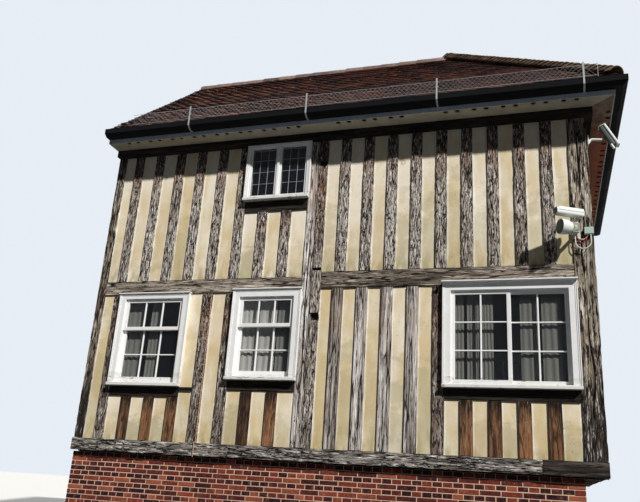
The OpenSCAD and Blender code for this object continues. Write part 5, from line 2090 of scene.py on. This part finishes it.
@dataclass
class EavesCamera:
    """A camera under the end eaves, tilted down, with a hood and a curved arm."""

    tilt: float = 63.0
    foot: float = 0.012
    foot_h: float = 0.120
    arm: float = 0.0175
    knuckle: float = 0.045
    lower: float = 0.014

    def build(self) -> None:
        """Build the camera with its hood, its front glass and its arm."""
        box = node_box("eaves_camera")
        tilt = np.radians(self.tilt)
        forward = np.array([np.cos(tilt), 0, -np.sin(tilt)])
        upward = np.array([np.sin(tilt), 0, np.cos(tilt)])
        axes = np.stack([forward, [0, 1.0, 0], upward])
        # the body under the hood takes the near-black coat: painted shade
        body = housing(box.centre - forward * 0.01 - upward * self.lower, axes,
                       HOUSING * [0.86, 0.80, 0.62]).finished(2)
        hood = housing(box.centre + upward * HOUSING[2] * 0.30, axes, HOUSING * [0.96, 1, 0.40])
        rear, (_, half_w, half_h) = -HOUSING[0] * 0.48, HOUSING / 2
        plate = block([rear, -half_w, -half_h], [rear + 0.006, half_w, half_h * 0.9], axes,
                      box.centre)
        front = box.centre + forward * (HOUSING[0] * 0.42 - GLASS_IN) - upward * self.lower
        eye = front_glass(axes, front, 0.024, 0.028)
        side = box.centre + forward * 0.112 - upward * 0.040 - axes[1] * 0.030
        beam = turned([(0, 0.0), (0, 0.014), (0.066, 0.015), (0.070, 0.012), (0.070, 0.0)],
                      axes, side, 20)
        make_piece("eaves_camera_body", [body, hood, plate, eye, beam],
                   [Finish.CAMERA_WHITE, Finish.CAMERA_GLASS, Finish.CAMERA_BODY],
                   "eaves_camera", crease=30)
        held = node_box("eaves_camera_bracket")
        foot = Box.of(held.lo, [held.lo[0] + self.foot, held.hi[1], held.lo[2] + self.foot_h])
        root = np.array([foot.hi[0] - 0.004, held.centre[1], foot.lo[2] + 0.038])
        knee = box.centre - upward * (half_h + self.knuckle)
        way = smooth_path([root, root + [0.030, 0, 0.034], (root + knee) / 2 + [0, 0, 0.024],
                           knee + [-0.012, 0, 0.004], knee], 8)
        arm = swept_tube(way, self.arm, 14)
        joint = swept_tube(np.linspace(knee - upward * 0.012, box.centre - upward * 0.03, 4),
                           self.arm * 0.9, 14).finished(1)
        make_piece("eaves_camera_arm",
                   [bar(foot, "z", {}, Wear(arris=0.002, step=1.0), 1), arm, joint],
                   [Finish.CAMERA_WHITE, Finish.CAMERA_BODY], "eaves_camera_bracket")


@dataclass
class SmallIron:
    """Two wire hooks, and the clips of the cable that runs down a stud."""

    wire: float = 0.0022
    clip: float = 0.004
    clip_pitch: float = 0.105
    clip_play: float = 0.02
    hooks: tuple[tuple[float, float], ...] = ((-2.192, 4.801), (-0.453, 4.888))
    hook_route: tuple[tuple[float, float, float], ...] = (
        (0, 0.03, 0.01), (0, -0.015, 0.005), (0.015, -0.03, -0.02), (0.03, -0.02, -0.03),
        (0.035, -0.012, -0.005), (0.02, -0.02, 0.012))

    def build(self) -> None:
        """Dress the cable on the stud, and build its clips and the hooks."""
        dress(Finish.CABLE_BROWN, "stud_cable")
        line = node_box("stud_cable")
        rng = np.random.default_rng(12)
        heights = np.arange(line.lo[2] + 0.25, line.hi[2] - 0.03, self.clip_pitch)
        heights = heights + rng.uniform(-self.clip_play, self.clip_play, len(heights))
        places = xyz(line.hi[0] - 0.004, line.lo[1] - 0.002, heights)
        clips = rods(places, places + [[0.026, 0.006, 0.0]], self.clip, 6)
        make_piece("cable_clips", [clips], [Finish.RUSTY_IRON])
        corner = np.array([HOUSE.hi[0], HOUSE.lo[1], 0])
        shapes = []
        for x, z in self.hooks:
            at = corner + [x, 0, z]
            hook = smooth_path([at + list(point) for point in self.hook_route], 6)
            shapes.append(swept_tube(hook, self.wire, 6))
        make_piece("wire_hooks", shapes, [Finish.RUSTY_IRON])


# Studio


@dataclass
class Studio:
    """The camera at the photograph's viewing angle, the floor and the lights."""

    place: tuple[float, float, float] = (2.4375, -10.147, 0.750)
    yaw: float = -18.54
    pitch: float = 18.49
    roll: float = 3.705
    focal_px: float = 698.78
    frame_px: float = 640.0
    sensor_mm: float = 36.0
    toward_key: tuple[float, float, float] = (1.12, -1.0, 1.20)
    key_strength: float = 4.7
    key_softness: float = 2.0
    toward_fill: tuple[float, float, float] = (-0.8, 1.0, 0.8)
    fill_strength: float = 1.8
    fill_softness: float = 20.0
    sunlight: Colour = (1.0, 0.97, 0.93)
    sky: Colour = (0.66, 0.82, 1.0)
    sky_strength: float = 0.045
    backdrop: Colour = (0.80, 0.85, 0.91)
    floor_half: float = 60.0
    floor_seen: Colour = (0.66, 0.66, 0.64)
    floor_bounce: Colour = (0.022, 0.024, 0.026)

    def camera(self) -> None:
        """Set the camera by its place, yaw, pitch and roll."""
        yaw, pitch, roll = np.radians([self.yaw, self.pitch, self.roll])
        ahead = np.array([np.sin(yaw) * np.cos(pitch), np.cos(yaw) * np.cos(pitch),
                          np.sin(pitch)])
        right = np.array([np.cos(yaw), -np.sin(yaw), 0])
        up = np.cross(right, ahead)
        turned_right = right * np.cos(roll) + up * np.sin(roll)
        turned_up = -right * np.sin(roll) + up * np.cos(roll)
        data = bpy.data.cameras.new("view")
        data.sensor_width = self.sensor_mm
        data.lens = self.focal_px / self.frame_px * self.sensor_mm
        data.clip_end = 300
        camera = new_object("view", data)
        axes = np.stack([turned_right, turned_up, -ahead], axis=1)
        camera.matrix_world = Matrix.Translation(self.place) @ Matrix(axes.tolist()).to_4x4()
        bpy.context.scene.camera = camera

    def world(self) -> None:
        """Set a plain soft sky that the camera and gloss see as a pale backdrop."""
        world = bpy.data.worlds.new("studio")
        bpy.context.scene.world = world
        world.use_nodes = True
        world.node_tree.nodes.clear()
        graph = Graph(world.node_tree)
        light = graph.add("ShaderNodeBackground", Color=self.sky, Strength=self.sky_strength)
        seen = graph.add("ShaderNodeBackground", Color=self.backdrop)
        mix = graph.add("ShaderNodeMixShader", Fac=graph.ray("Camera", "Glossy", "Transmission"))
        graph.lead(light.outputs[0], mix.inputs[1])
        graph.lead(seen.outputs[0], mix.inputs[2])
        graph.add("ShaderNodeOutputWorld", Surface=mix.outputs[0])

    def sun(self, name: str, toward: tuple[float, float, float], strength: float,
            softness: float) -> None:
        """Set one far even lamp by the direction towards it."""
        data = bpy.data.lights.new(name, "SUN")
        data.energy = strength
        data.angle = np.radians(softness)
        data.color = self.sunlight
        way = unit(np.array(toward))
        side = unit(np.cross(UP, way))
        axes = np.stack([side, np.cross(way, side), way], axis=1)
        new_object(name, data).matrix_world = Matrix(axes.tolist()).to_4x4()

    def floor(self) -> None:
        """Lay a plain pale floor that throws little light back on the house."""
        half = self.floor_half
        mesh = bpy.data.meshes.new("floor")
        corners = [(-half, -half, 0), (half, -half, 0), (half, half, 0), (-half, half, 0)]
        mesh.from_pydata(corners, [], [(0, 1, 2, 3)])
        surface = Surface("studio_floor")
        colour = surface.mix(surface.ray("Camera", "Glossy"), self.floor_bounce, self.floor_seen)
        surface.lead(colour, surface.shader.inputs["Base Color"])
        surface.lead(0.9, surface.shader.inputs["Roughness"])
        mesh.materials.append(surface.material)
        new_object("floor", mesh)

    def build(self) -> None:
        """Build the whole studio."""
        bpy.context.scene.view_settings.view_transform = "Standard"
        self.camera()
        self.world()
        self.sun("key", self.toward_key, self.key_strength, self.key_softness)
        self.sun("fill", self.toward_fill, self.fill_strength, self.fill_softness)
        self.floor()


def main() -> None:
    """Build the house in its studio."""
    logging.basicConfig(level=logging.INFO, format="%(name)s: %(message)s")
    for part in (Studio, Brickwork, TimberFrame, Panels, Windows, Curtains, Tiling,
                 RidgeAndHips, Eaves, CornerCamera, EavesCamera, SmallIron):
        part().build()
    dress(Finish.SAWN_BOARD, "ground_floor", "upper_floor")


if __name__ == "__main__":
    main()
